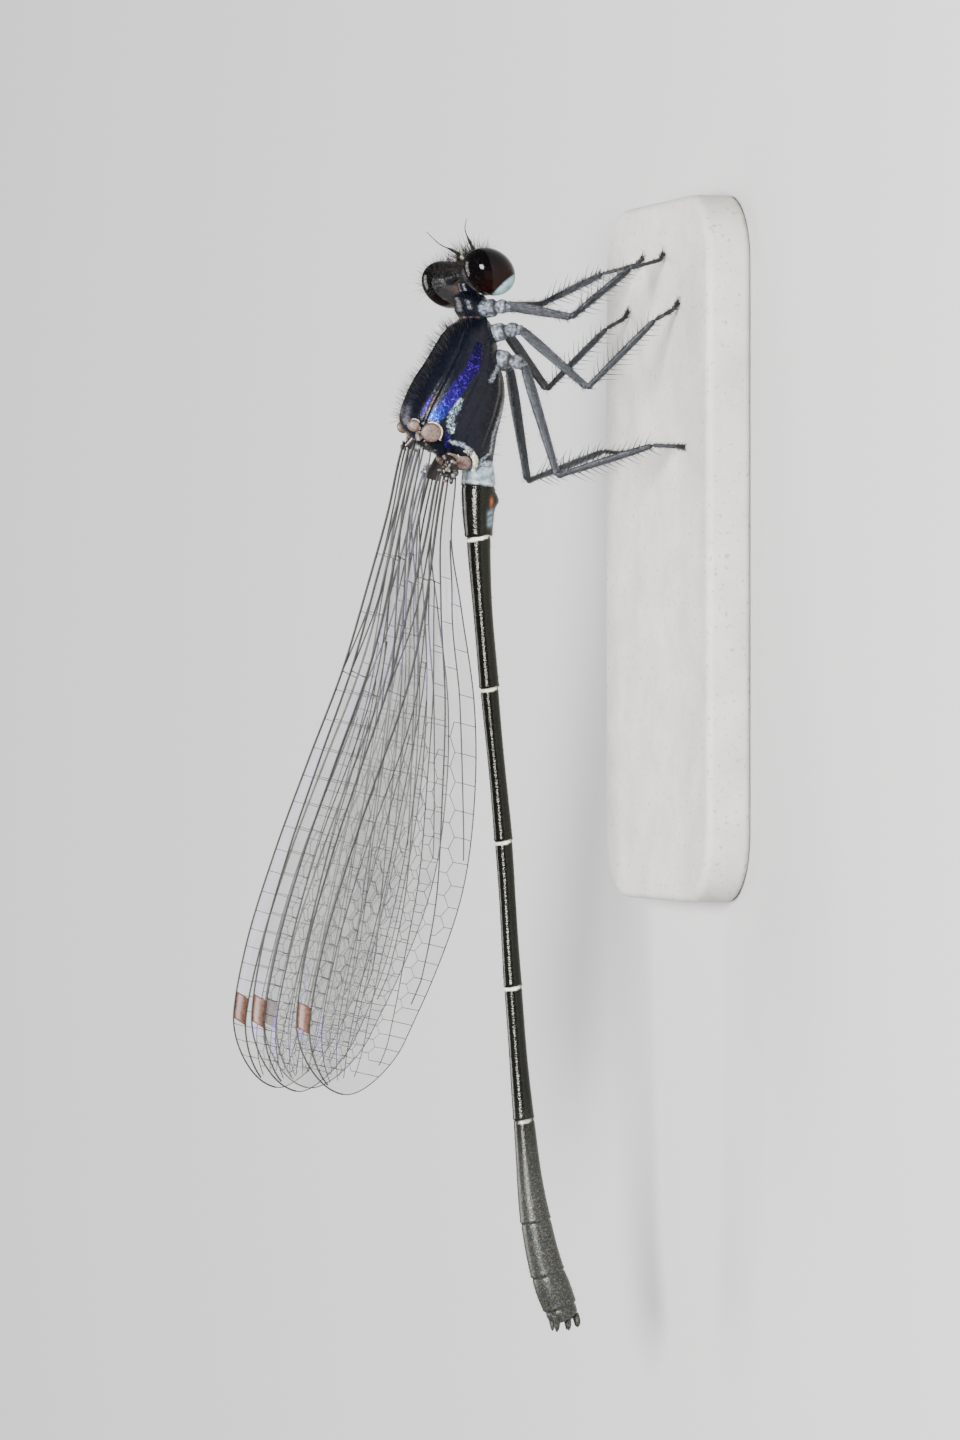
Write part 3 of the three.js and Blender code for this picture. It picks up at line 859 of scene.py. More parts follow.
@dataclass(frozen=True)
class AbdomenCuticle:
    """Glossy black cuticle with a bronze tinge, cream rings, pale bloom and an orange spot."""

    black: Stops = ((0.3, (0.0015, 0.002, 0.0018)), (0.75, (0.007, 0.008, 0.006)))
    bronze: Stops = ((0.3, (0.012, 0.016, 0.02)), (0.52, (0.032, 0.036, 0.034)), (0.75, (0.13, 0.1, 0.065)))
    pale: Stops = ((0.3, (0.05, 0.08, 0.1)), (0.5, (0.24, 0.31, 0.37)), (0.68, (0.5, 0.56, 0.62)))
    cream: Stops = ((0.3, (0.55, 0.52, 0.36)), (0.6, (0.85, 0.83, 0.68)))
    orange: Colour = (0.32, 0.09, 0.025)
    tint: Colour = (1.0, 0.94, 0.82)
    gloss: float = 0.2

    def material(self) -> bpy.types.Material:
        """The finish as a material.

        Returns:
            The material.
        """
        g = Graph("abdomen_cuticle")
        grain = g.noise(0.08, 5)
        colour = g.mix(g.tone("dull"), g.ramp(grain, *self.black), g.ramp(grain, *self.bronze))
        colour = g.mix(g.tone("bloom"), colour, g.ramp(g.noise(0.28, 4), *self.pale))
        colour = g.mix(g.tone("orange"), colour, self.orange)
        colour = g.mix(g.tone("ring"), colour, g.ramp(g.noise(0.2), *self.cream))
        g.set(Base_Color=colour, Metallic=g.maths("MULTIPLY", g.tone("dull"), 0.35))
        rough = g.blend(g.tone("dull"), 0.15, 0.36)
        rough = g.blend(g.maths("MAXIMUM", g.tone("bloom"), g.tone("ring")), rough, 0.5)
        g.set(Roughness=rough, Specular_IOR_Level=self.gloss, Specular_Tint=self.tint)
        pits = g.maths("ADD", g.cells(0.07), g.maths("MULTIPLY", grain, 0.8))
        g.set(Normal=g.bump(pits, 0.009, 0.6))
        return g.material


@dataclass(frozen=True)
class LegCuticle:
    """Slate grey cuticle with a pale bloom and pale keels."""

    slate: Stops = ((0.38, (0.0015, 0.002, 0.003)), (0.64, (0.022, 0.025, 0.034)))
    pale: Stops = ((0.32, (0.03, 0.036, 0.046)), (0.5, (0.15, 0.17, 0.2)), (0.66, (0.42, 0.46, 0.52)))
    worn: Stops = ((0.38, 0.25), (0.6, 1.0))
    dark: Colour = (0.012, 0.012, 0.014)
    rough: float = 0.45
    gloss: float = 0.4

    def material(self) -> bpy.types.Material:
        """The finish as a material.

        Returns:
            The material.
        """
        g = Graph("leg_cuticle")
        grain = g.noise(0.06, 4)
        bloom = g.maths("MULTIPLY", g.tone("bloom"), g.ramp(g.noise(0.3, 3), *self.worn))
        colour = g.mix(bloom, g.ramp(grain, *self.slate), g.ramp(g.noise(0.13, 4), *self.pale))
        colour = g.mix(g.tone("dark"), colour, self.dark)
        g.set(Base_Color=colour, Roughness=self.rough, Specular_IOR_Level=self.gloss)
        g.set(Normal=g.bump(g.maths("ADD", g.cells(0.05), grain), 0.02, 0.9))
        return g.material


@dataclass(frozen=True)
class WingMembrane:
    """Clear, faintly smoky membrane with a thin film's colours."""

    smoke: Stops = ((0.3, (0.1, 0.105, 0.1)), (0.7, (0.24, 0.245, 0.23)))
    alpha: float = 0.28
    rough: float = 0.15
    gloss: float = 0.9
    film: float = 100.0

    def material(self) -> bpy.types.Material:
        """The finish as a material.

        Returns:
            The material.
        """
        g = Graph("wing_membrane")
        g.set(Base_Color=g.ramp(g.noise(1.4, 4), *self.smoke), Alpha=self.alpha, Roughness=self.rough)
        g.set(IOR=1.56, Specular_IOR_Level=self.gloss, Thin_Film_Thickness=self.film, Thin_Film_IOR=1.4)
        g.set(Normal=g.bump(g.noise(0.35, 3), 0.02, 0.5))
        return g.material


@dataclass(frozen=True)
class BaseStone:
    """Pale cast stone with a fine matt grain."""

    body: Stops = ((0.3, (0.46, 0.44, 0.4)), (0.7, (0.58, 0.56, 0.52)))
    fleck: Colour = (0.36, 0.34, 0.31)

    def material(self) -> bpy.types.Material:
        """The finish as a material.

        Returns:
            The material.
        """
        g = Graph("base_stone")
        flecks = g.ramp(g.noise(0.25, 2), (0.62, 0.0), (0.68, 1.0))
        g.set(Base_Color=g.mix(flecks, g.ramp(g.noise(2.2, 6, 0.6), *self.body), self.fleck))
        g.set(Roughness=g.blend(g.noise(0.8), 0.5, 0.7), Normal=g.bump(g.noise(0.2, 5), 0.03, 0.4))
        return g.material


@dataclass(frozen=True)
class StudioFloor:
    """A plain pale floor."""

    colour: Colour = (0.5, 0.5, 0.495)
    rough: float = 0.8

    def material(self) -> bpy.types.Material:
        """The finish as a material.

        Returns:
            The material.
        """
        g = Graph("studio_floor")
        g.set(Base_Color=self.colour, Roughness=self.rough)
        return g.material


class Finishes:
    """Every material of the insect, its base and the floor."""

    def __init__(self) -> None:
        """Builds the materials."""
        self.head = HeadCuticle().material()
        self.eye = EyeGlaze().material()
        self.thorax = ThoraxCuticle().material()
        self.abdomen = AbdomenCuticle().material()
        self.leg = LegCuticle().material()
        self.membrane = WingMembrane().material()
        self.base = BaseStone().material()
        self.floor = StudioFloor().material()
        small = SmallParts()
        self.vein = small.vein.material()
        self.stigma = small.stigma.material()
        self.plate = small.plate.material()
        self.cream = small.cream.material()
        self.pale = small.pale.material()
        self.light_hair = small.light_hair.material()
        self.dark_hair = small.dark_hair.material()
        self.ocellus = small.ocellus.material()
        self.hinge = small.hinge.material()
        self.pale_spine = small.pale_spine.material()


@dataclass
class HeadFrame:
    """The head's own directions: to the insect's right, out of the face and up through the crown."""

    centre: Triple = (0.0, -11.9, 8.5)
    to_right: Triple = (-0.937, -0.13, -0.329)
    to_front: Triple = (0.28, -0.81, -0.47)

    def basis(self) -> np.ndarray:
        """The head's three directions.

        Returns:
            Rows for right, front and crown.
        """
        front = unit(np.array(self.to_front))
        crown = unit(np.cross(np.array(self.to_right), front))
        return np.stack([np.cross(front, crown), front, crown])

    def out(self, local: np.ndarray) -> np.ndarray:
        """Places in the insect's frame for places in the head's."""
        return np.array(self.centre) + np.asarray(local, float) @ self.basis()

    def into(self, points: np.ndarray) -> np.ndarray:
        """Places in the head's frame for places in the insect's."""
        return (points - np.array(self.centre)) @ self.basis().T


@dataclass
class Head:
    """The head capsule, eyes, mouth, antennae and their hairs."""

    place: HeadFrame = field(default_factory=HeadFrame)
    eye_place: Triple = (1.63, -0.03, -0.05)
    eye_radii: Triple = (1.06, 0.96, 1.22)
    lobe_reach: float = 1.3
    middle_lumps: tuple[tuple[Triple, Triple], ...] = (
        ((0, 0.02, 0.0), (1.7, 0.66, 0.74)), ((0, 0.42, 0.08), (0.96, 0.7, 0.7)),
        ((0, 0.66, -0.3), (0.72, 0.56, 0.42)), ((0, 0.84, -0.6), (0.62, 0.44, 0.3)),
        ((0, 0.78, -0.98), (0.56, 0.42, 0.32)), ((0, 0.2, -1.1), (0.46, 0.4, 0.3)))
    side_lumps: tuple[tuple[Triple, Triple], ...] = (
        ((1.3, -0.28, 0.0), (0.86, 0.66, 0.98)), ((1.3, 0.1, -0.1), (0.7, 0.7, 0.85)),
        ((0.5, 0.5, -0.98), (0.3, 0.44, 0.42)), ((0.5, 0.8, 0.42), (0.25, 0.25, 0.25)),
        ((0.42, -0.45, 0.45), (0.3, 0.24, 0.28)))
    voxel: float = 0.035
    ocellus_radius: float = 0.13
    ocelli: tuple[Triple, ...] = ((0.0, 0.8, 0.68), (0.27, 0.46, 0.76), (-0.27, 0.46, 0.76))
    antenna_right: tuple[Triple, ...] = (
        (0.5, 0.9, 0.46), (0.55, 1.16, 0.95), (0.63, 1.4, 1.38), (0.86, 1.76, 1.67))
    antenna_left: tuple[Triple, ...] = (
        (-0.5, 0.9, 0.46), (-0.93, 1.08, 0.84), (-1.38, 1.2, 1.22), (-1.92, 1.57, 1.86))
    antenna_at: tuple[float, ...] = (0, 0.1, 0.18, 0.24, 0.34, 0.4, 0.55, 1)
    antenna_halves: tuple[float, ...] = (0.09, 0.1, 0.06, 0.075, 0.055, 0.034, 0.026, 0.014)
    light_hairs: Coat = Coat(420, (0.3, 0.75), 0.008, 0.35, sway=0.1)
    mouth_hairs: Coat = Coat(140, (0.25, 0.5), 0.008, 0.3, sway=0.1)
    fringe: Coat = Coat(360, (0.12, 0.28), 0.008, 0.3)
    dark_hairs: Coat = Coat(620, (0.4, 0.95), 0.01, 0.35, sway=0.1)

    def blob(self, centre: Sequence[float], radii: Sequence[float]) -> Shape:
        """A rounded body in the head's own frame."""
        return ball(self.place.out(np.array(centre)), radii, self.place.basis())

    def capsule(self) -> Shape:
        """The head's skin without eyes and antennae.

        Returns:
            The skin, with its tones and unwrap.
        """
        parts = list(self.middle_lumps)
        for sign in (-1, 1):
            parts += [((sign * x, y, z), radii) for (x, y, z), radii in self.side_lumps]
        skin = fused([self.blob(centre, radii) for centre, radii in parts], self.voxel, 5)
        local = self.place.into(skin.points)
        hollow = np.exp(-((local[:, 0] / 0.62) ** 2 + ((local[:, 2] - 0.05) / 0.62) ** 2))
        back = smooth(0.0, -0.5, local[:, 1])
        skin.points += self.place.basis()[1] * (0.32 * hollow * back)[:, None]
        local = self.place.into(skin.points)
        behind = smooth(-0.15, -0.5, local[:, 1])
        off_lobe = local[:, [0, 2]] - np.stack([np.sign(local[:, 0]) * self.lobe_reach, 0 * local[:, 0]], 1)
        beside_neck = (np.abs(local[:, 0]) - 0.5) / 0.16
        skin.tones = {
            "bloom": behind * smooth(0.98, 0.8, np.hypot(off_lobe[:, 0] * 0.95, off_lobe[:, 1])),
            "angle": np.arctan2(off_lobe[:, 1], -off_lobe[:, 0] * np.sign(local[:, 0])),
            "brown": behind * np.exp(-beside_neck**2 - ((local[:, 2] + 0.1) / 0.3) ** 2),
            "pale": smooth(-0.8, -1.1, local[:, 2]) * 0.8,
        }
        skin.unwrap = self.unwrap(local)
        return skin

    @staticmethod
    def unwrap(local: np.ndarray) -> np.ndarray:
        """A round unwrap of the head.

        Args:
            local: Places in the head's frame.

        Returns:
            A spot on the unwrap for each.
        """
        turn = np.arctan2(local[:, 1], local[:, 0]) / (2 * math.pi) + 0.5
        rise = np.arctan2(local[:, 2], np.hypot(local[:, 0], local[:, 1])) / math.pi + 0.5
        return np.stack([turn, rise], 1) * 0.98 + 0.01

    def eye(self, side: Side) -> Shape:
        """One eye.

        Args:
            side: Its side.

        Returns:
            The eye, with its tones.
        """
        across = -side.sign
        centre = np.array(self.eye_place) * [across, 1, 1]
        shape = ball(self.place.out(centre), self.eye_radii, self.place.basis(), 96)
        local = (self.place.into(shape.points) - centre) / self.eye_radii
        local[:, 0] *= across
        below = local @ unit(np.array([0.3, -0.3, -0.9]))
        shape.tones = {"pale": smooth(0.71, 0.76, below), "low": smooth(-0.3, 0.7, below)}
        return shape

    def antenna(self, side: Side) -> Shape:
        """One antenna: two short thick joints and a bristle.

        Args:
            side: Its side.

        Returns:
            The antenna.
        """
        t = np.linspace(0, 1, 34)
        corners = self.antenna_right if side is Side.RIGHT else self.antenna_left
        local = np.stack([profile([0, 0.3, 0.6, 1], values)(t) for values in zip(*corners)], 1)
        thick = profile(self.antenna_at, self.antenna_halves)(t)
        return loft(self.place.out(local), thick, thick, 10, self.place.basis()[0])

    def coat(self, skin: Shape) -> tuple[Shape, Shape]:
        """Hairs on the face and crown, below the mouth and round the rear rims.

        Args:
            skin: The head's skin.

        Returns:
            The light hairs and the dark ones.
        """
        local = self.place.into(skin.points)
        facing = skin.normals() @ self.place.basis().T
        face = (local[:, 1] > 0.25) & (np.abs(local[:, 0]) < 1.1) & (local[:, 2] > -0.5)
        crown = (facing[:, 2] > 0.3) & (local[:, 2] > 0.35)
        mouth = (local[:, 2] < -0.55) & (local[:, 1] > 0.2)
        off_lobe = np.hypot(np.abs(local[:, 0]) - self.lobe_reach, local[:, 2])
        rims = (np.abs(local[:, 0]) > 0.9) & (off_lobe > 0.78)
        forward = tuple(0.25 * self.place.basis()[1] + 0.15 * self.place.basis()[2])
        light = replace(self.light_hairs, lean=forward).on(skin, face | crown)
        below = replace(self.mouth_hairs, lean=forward).on(skin, mouth)
        fringe = self.fringe.on(skin, rims)
        dark = replace(self.dark_hairs, lean=forward).on(skin, crown | face)
        return merged([light, below, fringe]), dark

    def build(self, look: Finishes) -> None:
        """Makes every piece of the head.

        Args:
            look: The finishes.
        """
        skin = self.capsule()
        register(skin.bare().build("head_skin", [look.head]), "head", "head", "mouthparts")
        for side in Side:
            register(self.eye(side).build(f"eye_{side.word}", [look.eye]), "eye", f"eye_{side.letter}")
            antenna = self.antenna(side).build(f"antenna_{side.word}", [look.head])
            register(antenna, "head", f"antenna_{side.letter}")
        beads = merged([self.blob(centre, [self.ocellus_radius] * 3) for centre in self.ocelli])
        register(beads.build("ocelli", [look.ocellus]), "head")
        light, dark = self.coat(skin)
        register(light.build("head_hairs_light", [look.light_hair]), "head")
        register(dark.build("head_hairs_dark", [look.dark_hair]), "head")


@dataclass(frozen=True)
class Groove:
    """A suture of the thorax: its line in the photo's side view, its depth and its half width."""

    line: Line
    depth: float
    width: float


@dataclass(frozen=True)
class Disc:
    """A disc at a wing base: where it is in the side view, its size, and how far out and wide its rim is."""

    y: float
    height: float
    size: float
    rim: float
    thick: float


class PlateSlot(IntEnum):
    """The finishes of the wing-base plates, by slot."""

    DISC = 0
    RIM = 1


@dataclass
class Thorax:
    """The neck, prothorax and synthorax as one skin, with the wing bases."""

    stations: tuple[float, ...] = (
        -11.62, -11.4, -11.2, -11.06, -10.9, -10.72, -10.55, -10.38, -10.22, -10.1, -9.98, -9.8, -9.5,
        -8.9, -8.2, -7.4, -6.7, -6.1, -5.6, -5.2, -4.8, -4.4, -4.05, -3.8, -3.6)
    tops: tuple[float, ...] = (
        8.98, 8.92, 8.9, 9.08, 9.12, 9.06, 9.05, 9.02, 8.92, 8.84, 8.98, 9.28, 9.52,
        9.9, 10.33, 10.87, 11.22, 11.45, 11.5, 11.3, 10.86, 10.3, 9.75, 9.2, 8.85)
    bottoms: tuple[float, ...] = (
        8.3, 8.2, 8.02, 7.78, 7.66, 7.6, 7.58, 7.6, 7.66, 7.68, 7.6, 7.48, 7.36,
        7.25, 7.12, 6.95, 6.9, 6.98, 7.1, 7.2, 7.28, 7.33, 7.38, 7.4, 7.45)
    halves: tuple[float, ...] = (
        0.34, 0.36, 0.44, 0.72, 0.84, 0.9, 0.93, 0.9, 0.82, 0.76, 0.86, 1.05, 1.26,
        1.5, 1.62, 1.72, 1.76, 1.76, 1.72, 1.66, 1.52, 1.3, 1.02, 0.84, 0.74)
    squareness: float = 2.25
    rings: int = 230
    sides: int = 200

    discs: tuple[Disc, ...] = (
        Disc(-5.06, 9.77, 0.44, 0.02, 0.045), Disc(-5.36, 10.52, 0.29, 0.0, 0.025),
        Disc(-5.02, 10.3, 0.17, 0.0, 0.015), Disc(-3.84, 8.46, 0.41, 0.16, 0.14),
        Disc(-4.02, 8.9, 0.31, 0.0, 0.03))
    light_hairs: Coat = Coat(340, (0.3, 0.7), 0.0075, 0.22, TO_HEAD)
    collar_hairs: Coat = Coat(130, (0.2, 0.4), 0.0075, 0.22, TO_HEAD)
    belly_hairs: Coat = Coat(340, (0.2, 0.42), 0.0075, 0.22, TO_HEAD)
    flank_hairs: Coat = Coat(160, (0.08, 0.18), 0.005, 0.22, TO_HEAD)
    dark_hairs: Coat = Coat(240, (0.3, 0.6), 0.008, 0.22, TO_HEAD)

    # Small sclerites where the wings leave the body: along Y, how high, and their size.
    knobs_at: tuple[Triple, ...] = (
        (-5.62, 9.9, 0.07), (-5.57, 9.7, 0.07), (-5.52, 9.5, 0.07), (-4.75, 9.4, 0.08), (-4.5, 10.1, 0.12),
        (-4.42, 9.85, 0.09), (-4.35, 9.6, 0.08), (-3.7, 9.1, 0.1), (-3.62, 8.9, 0.08), (-4.25, 8.1, 0.22),
        (-4.05, 7.95, 0.16))

    # Markings, a painted sheen and sutures in the photo's side view: how far along Y, and how high.
    stripe: Line = (
        (-8.85, 7.74), (-8.3, 7.85), (-7.85, 7.98), (-7.41, 8.3), (-6.98, 8.62), (-6.54, 8.92), (-6.1, 9.24),
        (-5.74, 9.58))
    sutures: tuple[Groove, ...] = (
        Groove(((-9.5, 8.3), (-8.6, 8.6), (-7.3, 9.25), (-6.3, 9.77), (-5.5, 10.1)), 0.05, 0.07),
        Groove(((-9.0, 7.3), (-8.0, 7.5), (-7.0, 8.05), (-6.0, 8.5), (-4.9, 9.0)), 0.05, 0.08),
        Groove(((-7.7, 6.9), (-6.6, 7.5), (-5.6, 7.95), (-4.6, 8.4)), 0.04, 0.08),
        Groove(((-9.4, 6.85), (-8.0, 6.75), (-6.8, 6.75), (-5.8, 7.0), (-4.4, 7.5)), 0.05, 0.06))
    streak: Line = ((-6.63, 9.77), (-6.2, 10.0), (-5.8, 10.2))
    shoulder: Line = ((-6.85, 9.5), (-6.3, 9.77), (-5.84, 9.98))
    # The line of a painted silvery sheen, where light glances off the side.
    silver: Line = ((-6.45, 8.5), (-6.02, 8.76), (-5.58, 8.96), (-5.14, 8.92))
    violet: Line = ((-5.0, 9.07), (-4.45, 9.1))
    lower_edge: Line = (
        (-9.2, 6.72), (-7.9, 6.5), (-6.8, 6.5), (-5.9, 6.78), (-5.0, 7.1), (-4.2, 7.22), (-3.9, 7.6))
    front_edge: Line = ((-9.95, 7.2), (-9.7, 7.0), (-9.3, 6.78))
    coxa_streak: Line = ((-8.2, 6.82), (-7.8, 6.95), (-7.3, 7.2))
    rear_edge: Line = ((-4.66, 9.0), (-4.56, 8.5), (-4.25, 8.02), (-3.95, 7.85))

    def skin(self) -> Shape:
        """The skin from the neck to the abdomen.

        Returns:
            The skin, with its relief and tones.
        """
        marks = [self.stations[0], -9.6, self.stations[-1]]
        y = np.interp(np.linspace(0, 1, self.rings), [0, 0.32, 1], marks)
        top, bottom, half = (profile(self.stations, v)(y) for v in (self.tops, self.bottoms, self.halves))
        path = np.stack([np.zeros_like(y), y, (top + bottom) / 2], 1)
        shape = loft(path, half, (top - bottom) / 2, self.sides, UP, self.squareness)
        x, z = section(self.sides, self.squareness)
        # The rings stand upright, whatever the slope of the middle line.
        upright = [-half[:, None] * x, np.zeros((len(y), self.sides)), ((top - bottom) / 2)[:, None] * z]
        shape.points = (path[:, None] + np.stack(upright, -1)).reshape(-1, 3)
        shape.points = shape.points + shape.normals() * self.relief(shape.points)[:, None]
        self.colour(shape)
        return shape

    def relief(self, points: np.ndarray) -> np.ndarray:
        """How far the keel, the sutures and the plates between them stand out.

        Args:
            points: The skin's points.

        Returns:
            A height for each point.
        """
        y, x = points[:, 1], np.abs(points[:, 0])
        flat = np.stack([y, side_height(points)], 1)
        body = smooth(-9.7, -9.3, y) * smooth(-3.9, -4.6, y)
        out = 0.07 * np.exp(-((x / 0.07) ** 2)) * body * (points[:, 2] > 9) * smooth(-5.6, -6.1, y)
        for suture in self.sutures:
            distance, _ = line_distance(flat, suture.line)
            out = out - suture.depth * np.exp(-((distance / suture.width) ** 2)) * body
        return out

    def colour(self, shape: Shape) -> None:
        """Sets the tones of the skin.

        Args:
            shape: The skin.
        """
        points = shape.points
        y, x = points[:, 1], np.abs(points[:, 0])
        flat = np.stack([y, side_height(points)], 1)
        flat = flat + 0.02 * np.sin(31 * flat[:, ::-1]) + 0.014 * np.sin(73 * flat[:, ::-1] + 1)
        upper = points[:, 2] > 8.2

        def band(line: Line, half: float, soft: float) -> tuple[np.ndarray, np.ndarray]:
            """A band of colour round a line.

            Args:
                line: The line, in the photo's side view.
                half: The marking's half width.
                soft: How soft its edge is.

            Returns:
                How strong it is at each point, and how far along the line the point is.
            """
            distance, along = line_distance(flat, line)
            taper = np.minimum(1, 0.55 + 2.2 * np.minimum(along, 1 - along * 0.75))
            return smooth(half * taper + soft, half * taper - soft, distance), along

        stripe, along = band(self.stripe, 0.27, 0.06)
        streak, _ = band(self.streak, 0.06, 0.035)
        violet, _ = band(self.violet, 0.08, 0.04)
        # A painted violet sheen along the back, laid into the blue tone with the stripes.
        edge = smooth(0.75, 0.95, points[:, 2] / 11.4) * smooth(0.2, 0.05, np.abs(x - 0.6))
        edge = edge * smooth(-5.4, -5.9, y) * 0.16
        blue = np.maximum.reduce([stripe, streak, violet, edge * smooth(-7.6, -6.4, y)]) * upper
        reach = np.where(stripe > 0.02, along, np.where(streak > 0.02, 0.62, 0.5))
        # Painted silvery sheen along its line.
        silver, _ = band(self.silver, 0.13, 0.06)
        gold, _ = band(self.shoulder, 0.016, 0.016)
        rear_edge, _ = band(self.rear_edge, 0.07, 0.05)
        low, _ = band(self.lower_edge, 0.035, 0.04)
        front, _ = band(self.front_edge, 0.08, 0.06)
        coxa, _ = band(self.coxa_streak, 0.07, 0.06)
        pleuron = smooth(0.35, 0.2, np.hypot((y + 10.5) / 1.1, flat[:, 1] - 7.45)) * 0.8
        under = smooth(7.12, 6.95, points[:, 2]) * smooth(-9.6, -9.2, y) * 0.35
        rear = smooth(-3.92, -3.76, y) * 0.9
        collar = np.exp(-((y + 10.1) / 0.05) ** 2) * smooth(7.6, 7.9, flat[:, 1])
        collar = collar * smooth(-0.2, 0.5, np.sin(9 * flat[:, 1] + 1) + 0.4 * np.sin(23 * flat[:, 1]))
        shape.tones = {
            "stripe": blue, "reach": reach, "silver": silver * upper, "gold": gold * upper * 0.35,
            "bloom": np.maximum.reduce([low, front, coxa, pleuron, under, rear, rear_edge]),
            "brown": collar * 0.4,
        }

    def surface_at(self, skin: Shape, y: float, height: float, side: Side) -> tuple[np.ndarray, np.ndarray]:
        """A spot of the photo's side view on the skin.

        Args:
            skin: The thorax.
            y: Where the spot is along Y.
            height: How high it is.
            side: Which side it is on.

        Returns:
            The place and its outward direction.
        """
        flat = np.stack([skin.points[:, 1], side_height(skin.points)], 1)
        miss = np.hypot(flat[:, 0] - y, flat[:, 1] - height)
        miss = miss + 5.0 * (skin.points[:, 0] * side.sign < -0.01)
        outward = skin.normals()
        miss = miss + 5.0 * (outward[:, 0] * side.sign < -0.1)
        i = int(np.argmin(miss))
        return skin.points[i], outward[i]

    def plates(self, skin: Shape) -> Shape:
        """The brown discs with pale rims at the wing bases.

        Args:
            skin: The thorax.

        Returns:
            The discs and their rims.
        """
        parts = []
        for side in Side:
            for disc in self.discs:
                place, outward = self.surface_at(skin, disc.y, disc.height, side)
                outward = unit(0.3 * outward + [side.sign, 0, 0.15])
                place = place + outward * disc.size * 0.25
                along = unit(np.cross(np.cross(outward, [0, 1, 0.3]), outward))
                below = np.cross(outward, along) * -side.sign
                radii = np.array((0.94, 1, 0.5)) * disc.size
                dome = ball(place, radii, np.stack([along, below, outward]), 40)
                dome.points -= outward * np.maximum(0, (dome.points - place) @ outward - 0.12)[:, None] * 0.8
                parts.append(dome.in_slot(PlateSlot.DISC))
                parts.append(self.rim(disc, place, outward, along, below))
        return merged(parts)

    @staticmethod
    def rim(
        disc: Disc,
        place: np.ndarray,
        outward: np.ndarray,
        along: np.ndarray,
        below: np.ndarray,
    ) -> Shape:
        """The pale crescent round one disc.

        Args:
            disc: The disc.
            place: Its middle.
            outward: The direction that it faces.
            along: The direction of the crescent's start.
            below: The direction of its middle.

        Returns:
            The crescent.
        """
        angle = np.linspace(math.pi * 0.35, math.pi * 1.2, 40)
        arc = np.cos(angle)[:, None] * along + np.sin(angle)[:, None] * below
        width = disc.thick * np.sin(np.linspace(0.12, math.pi - 0.12, 40)) ** 0.6
        lifted = 0.02 + 0.35 * disc.size * np.maximum(0, -np.cos(angle)) + 0.5 * disc.rim
        path = place + outward * lifted[:, None] + (disc.size + disc.rim) * arc
        return loft(path, width, width * 0.6, 10, outward).in_slot(PlateSlot.RIM)

    def knobs(self, skin: Shape) -> Shape:
        """Small pale sclerites scattered where the wings leave the body.

        Args:
            skin: The thorax.

        Returns:
            The sclerites.
        """
        parts = []
        for side in Side:
            for y, height, size in self.knobs_at:
                place, outward = self.surface_at(skin, y, height, side)
                radii = 0.8 * size * (0.75 + 0.5 * RNG.random(3)) * [0.6, 1, 1]
                parts.append(ball(place + outward * size * 0.15, radii, None, 14))
        return merged(parts)

    def coat(self, skin: Shape) -> tuple[Shape, Shape]:
        """Fine hairs along the back, behind the neck, below and on the flanks.

        Args:
            skin: The thorax.

        Returns:
            The light hairs and the dark ones.
        """
        normals = skin.normals()
        y, z = skin.points[:, 1], skin.points[:, 2]
        back = (normals[:, 2] > 0.1) & (y > -9.9) & (y < -5.6) & (np.abs(skin.points[:, 0]) < 1.2)
        collar = (normals[:, 2] > -0.2) & (y > -11.1) & (y <= -9.9)
        below = (normals[:, 2] < -0.1) & (y > -9.5) & (y < -3.9)
        flank = (np.abs(normals[:, 2]) < 0.6) & (y > -9.5) & (y < -4.2) & (z > 7)
        light = [self.light_hairs.on(skin, back), self.collar_hairs.on(skin, collar),
                 self.belly_hairs.on(skin, below), self.flank_hairs.on(skin, flank)]
        return merged(light), self.dark_hairs.on(skin, back)

    def build(self, look: Finishes) -> None:
        """Makes every piece of the thorax.

        Args:
            look: The finishes.
        """
        skin = self.skin()
        bare = skin.bare().build("thorax_skin", [look.thorax])
        register(bare, "thorax", "neck", "prothorax", "synthorax")
        register(self.plates(skin).build("wing_base_plates", [look.plate, look.cream]), "thorax")
        register(self.knobs(skin).build("wing_base_sclerites", [look.pale]), "thorax")
        light, dark = self.coat(skin)
        register(light.build("thorax_hairs_light", [look.light_hair]), "thorax")
        register(dark.build("thorax_hairs_dark", [look.dark_hair]), "thorax")


@dataclass(frozen=True)
class Segment:
    """One ring of the abdomen: where it runs along Y and its half width at its start, middle and end."""

    start: float
    end: float
    halves: Triple
    ring: float = 0.0


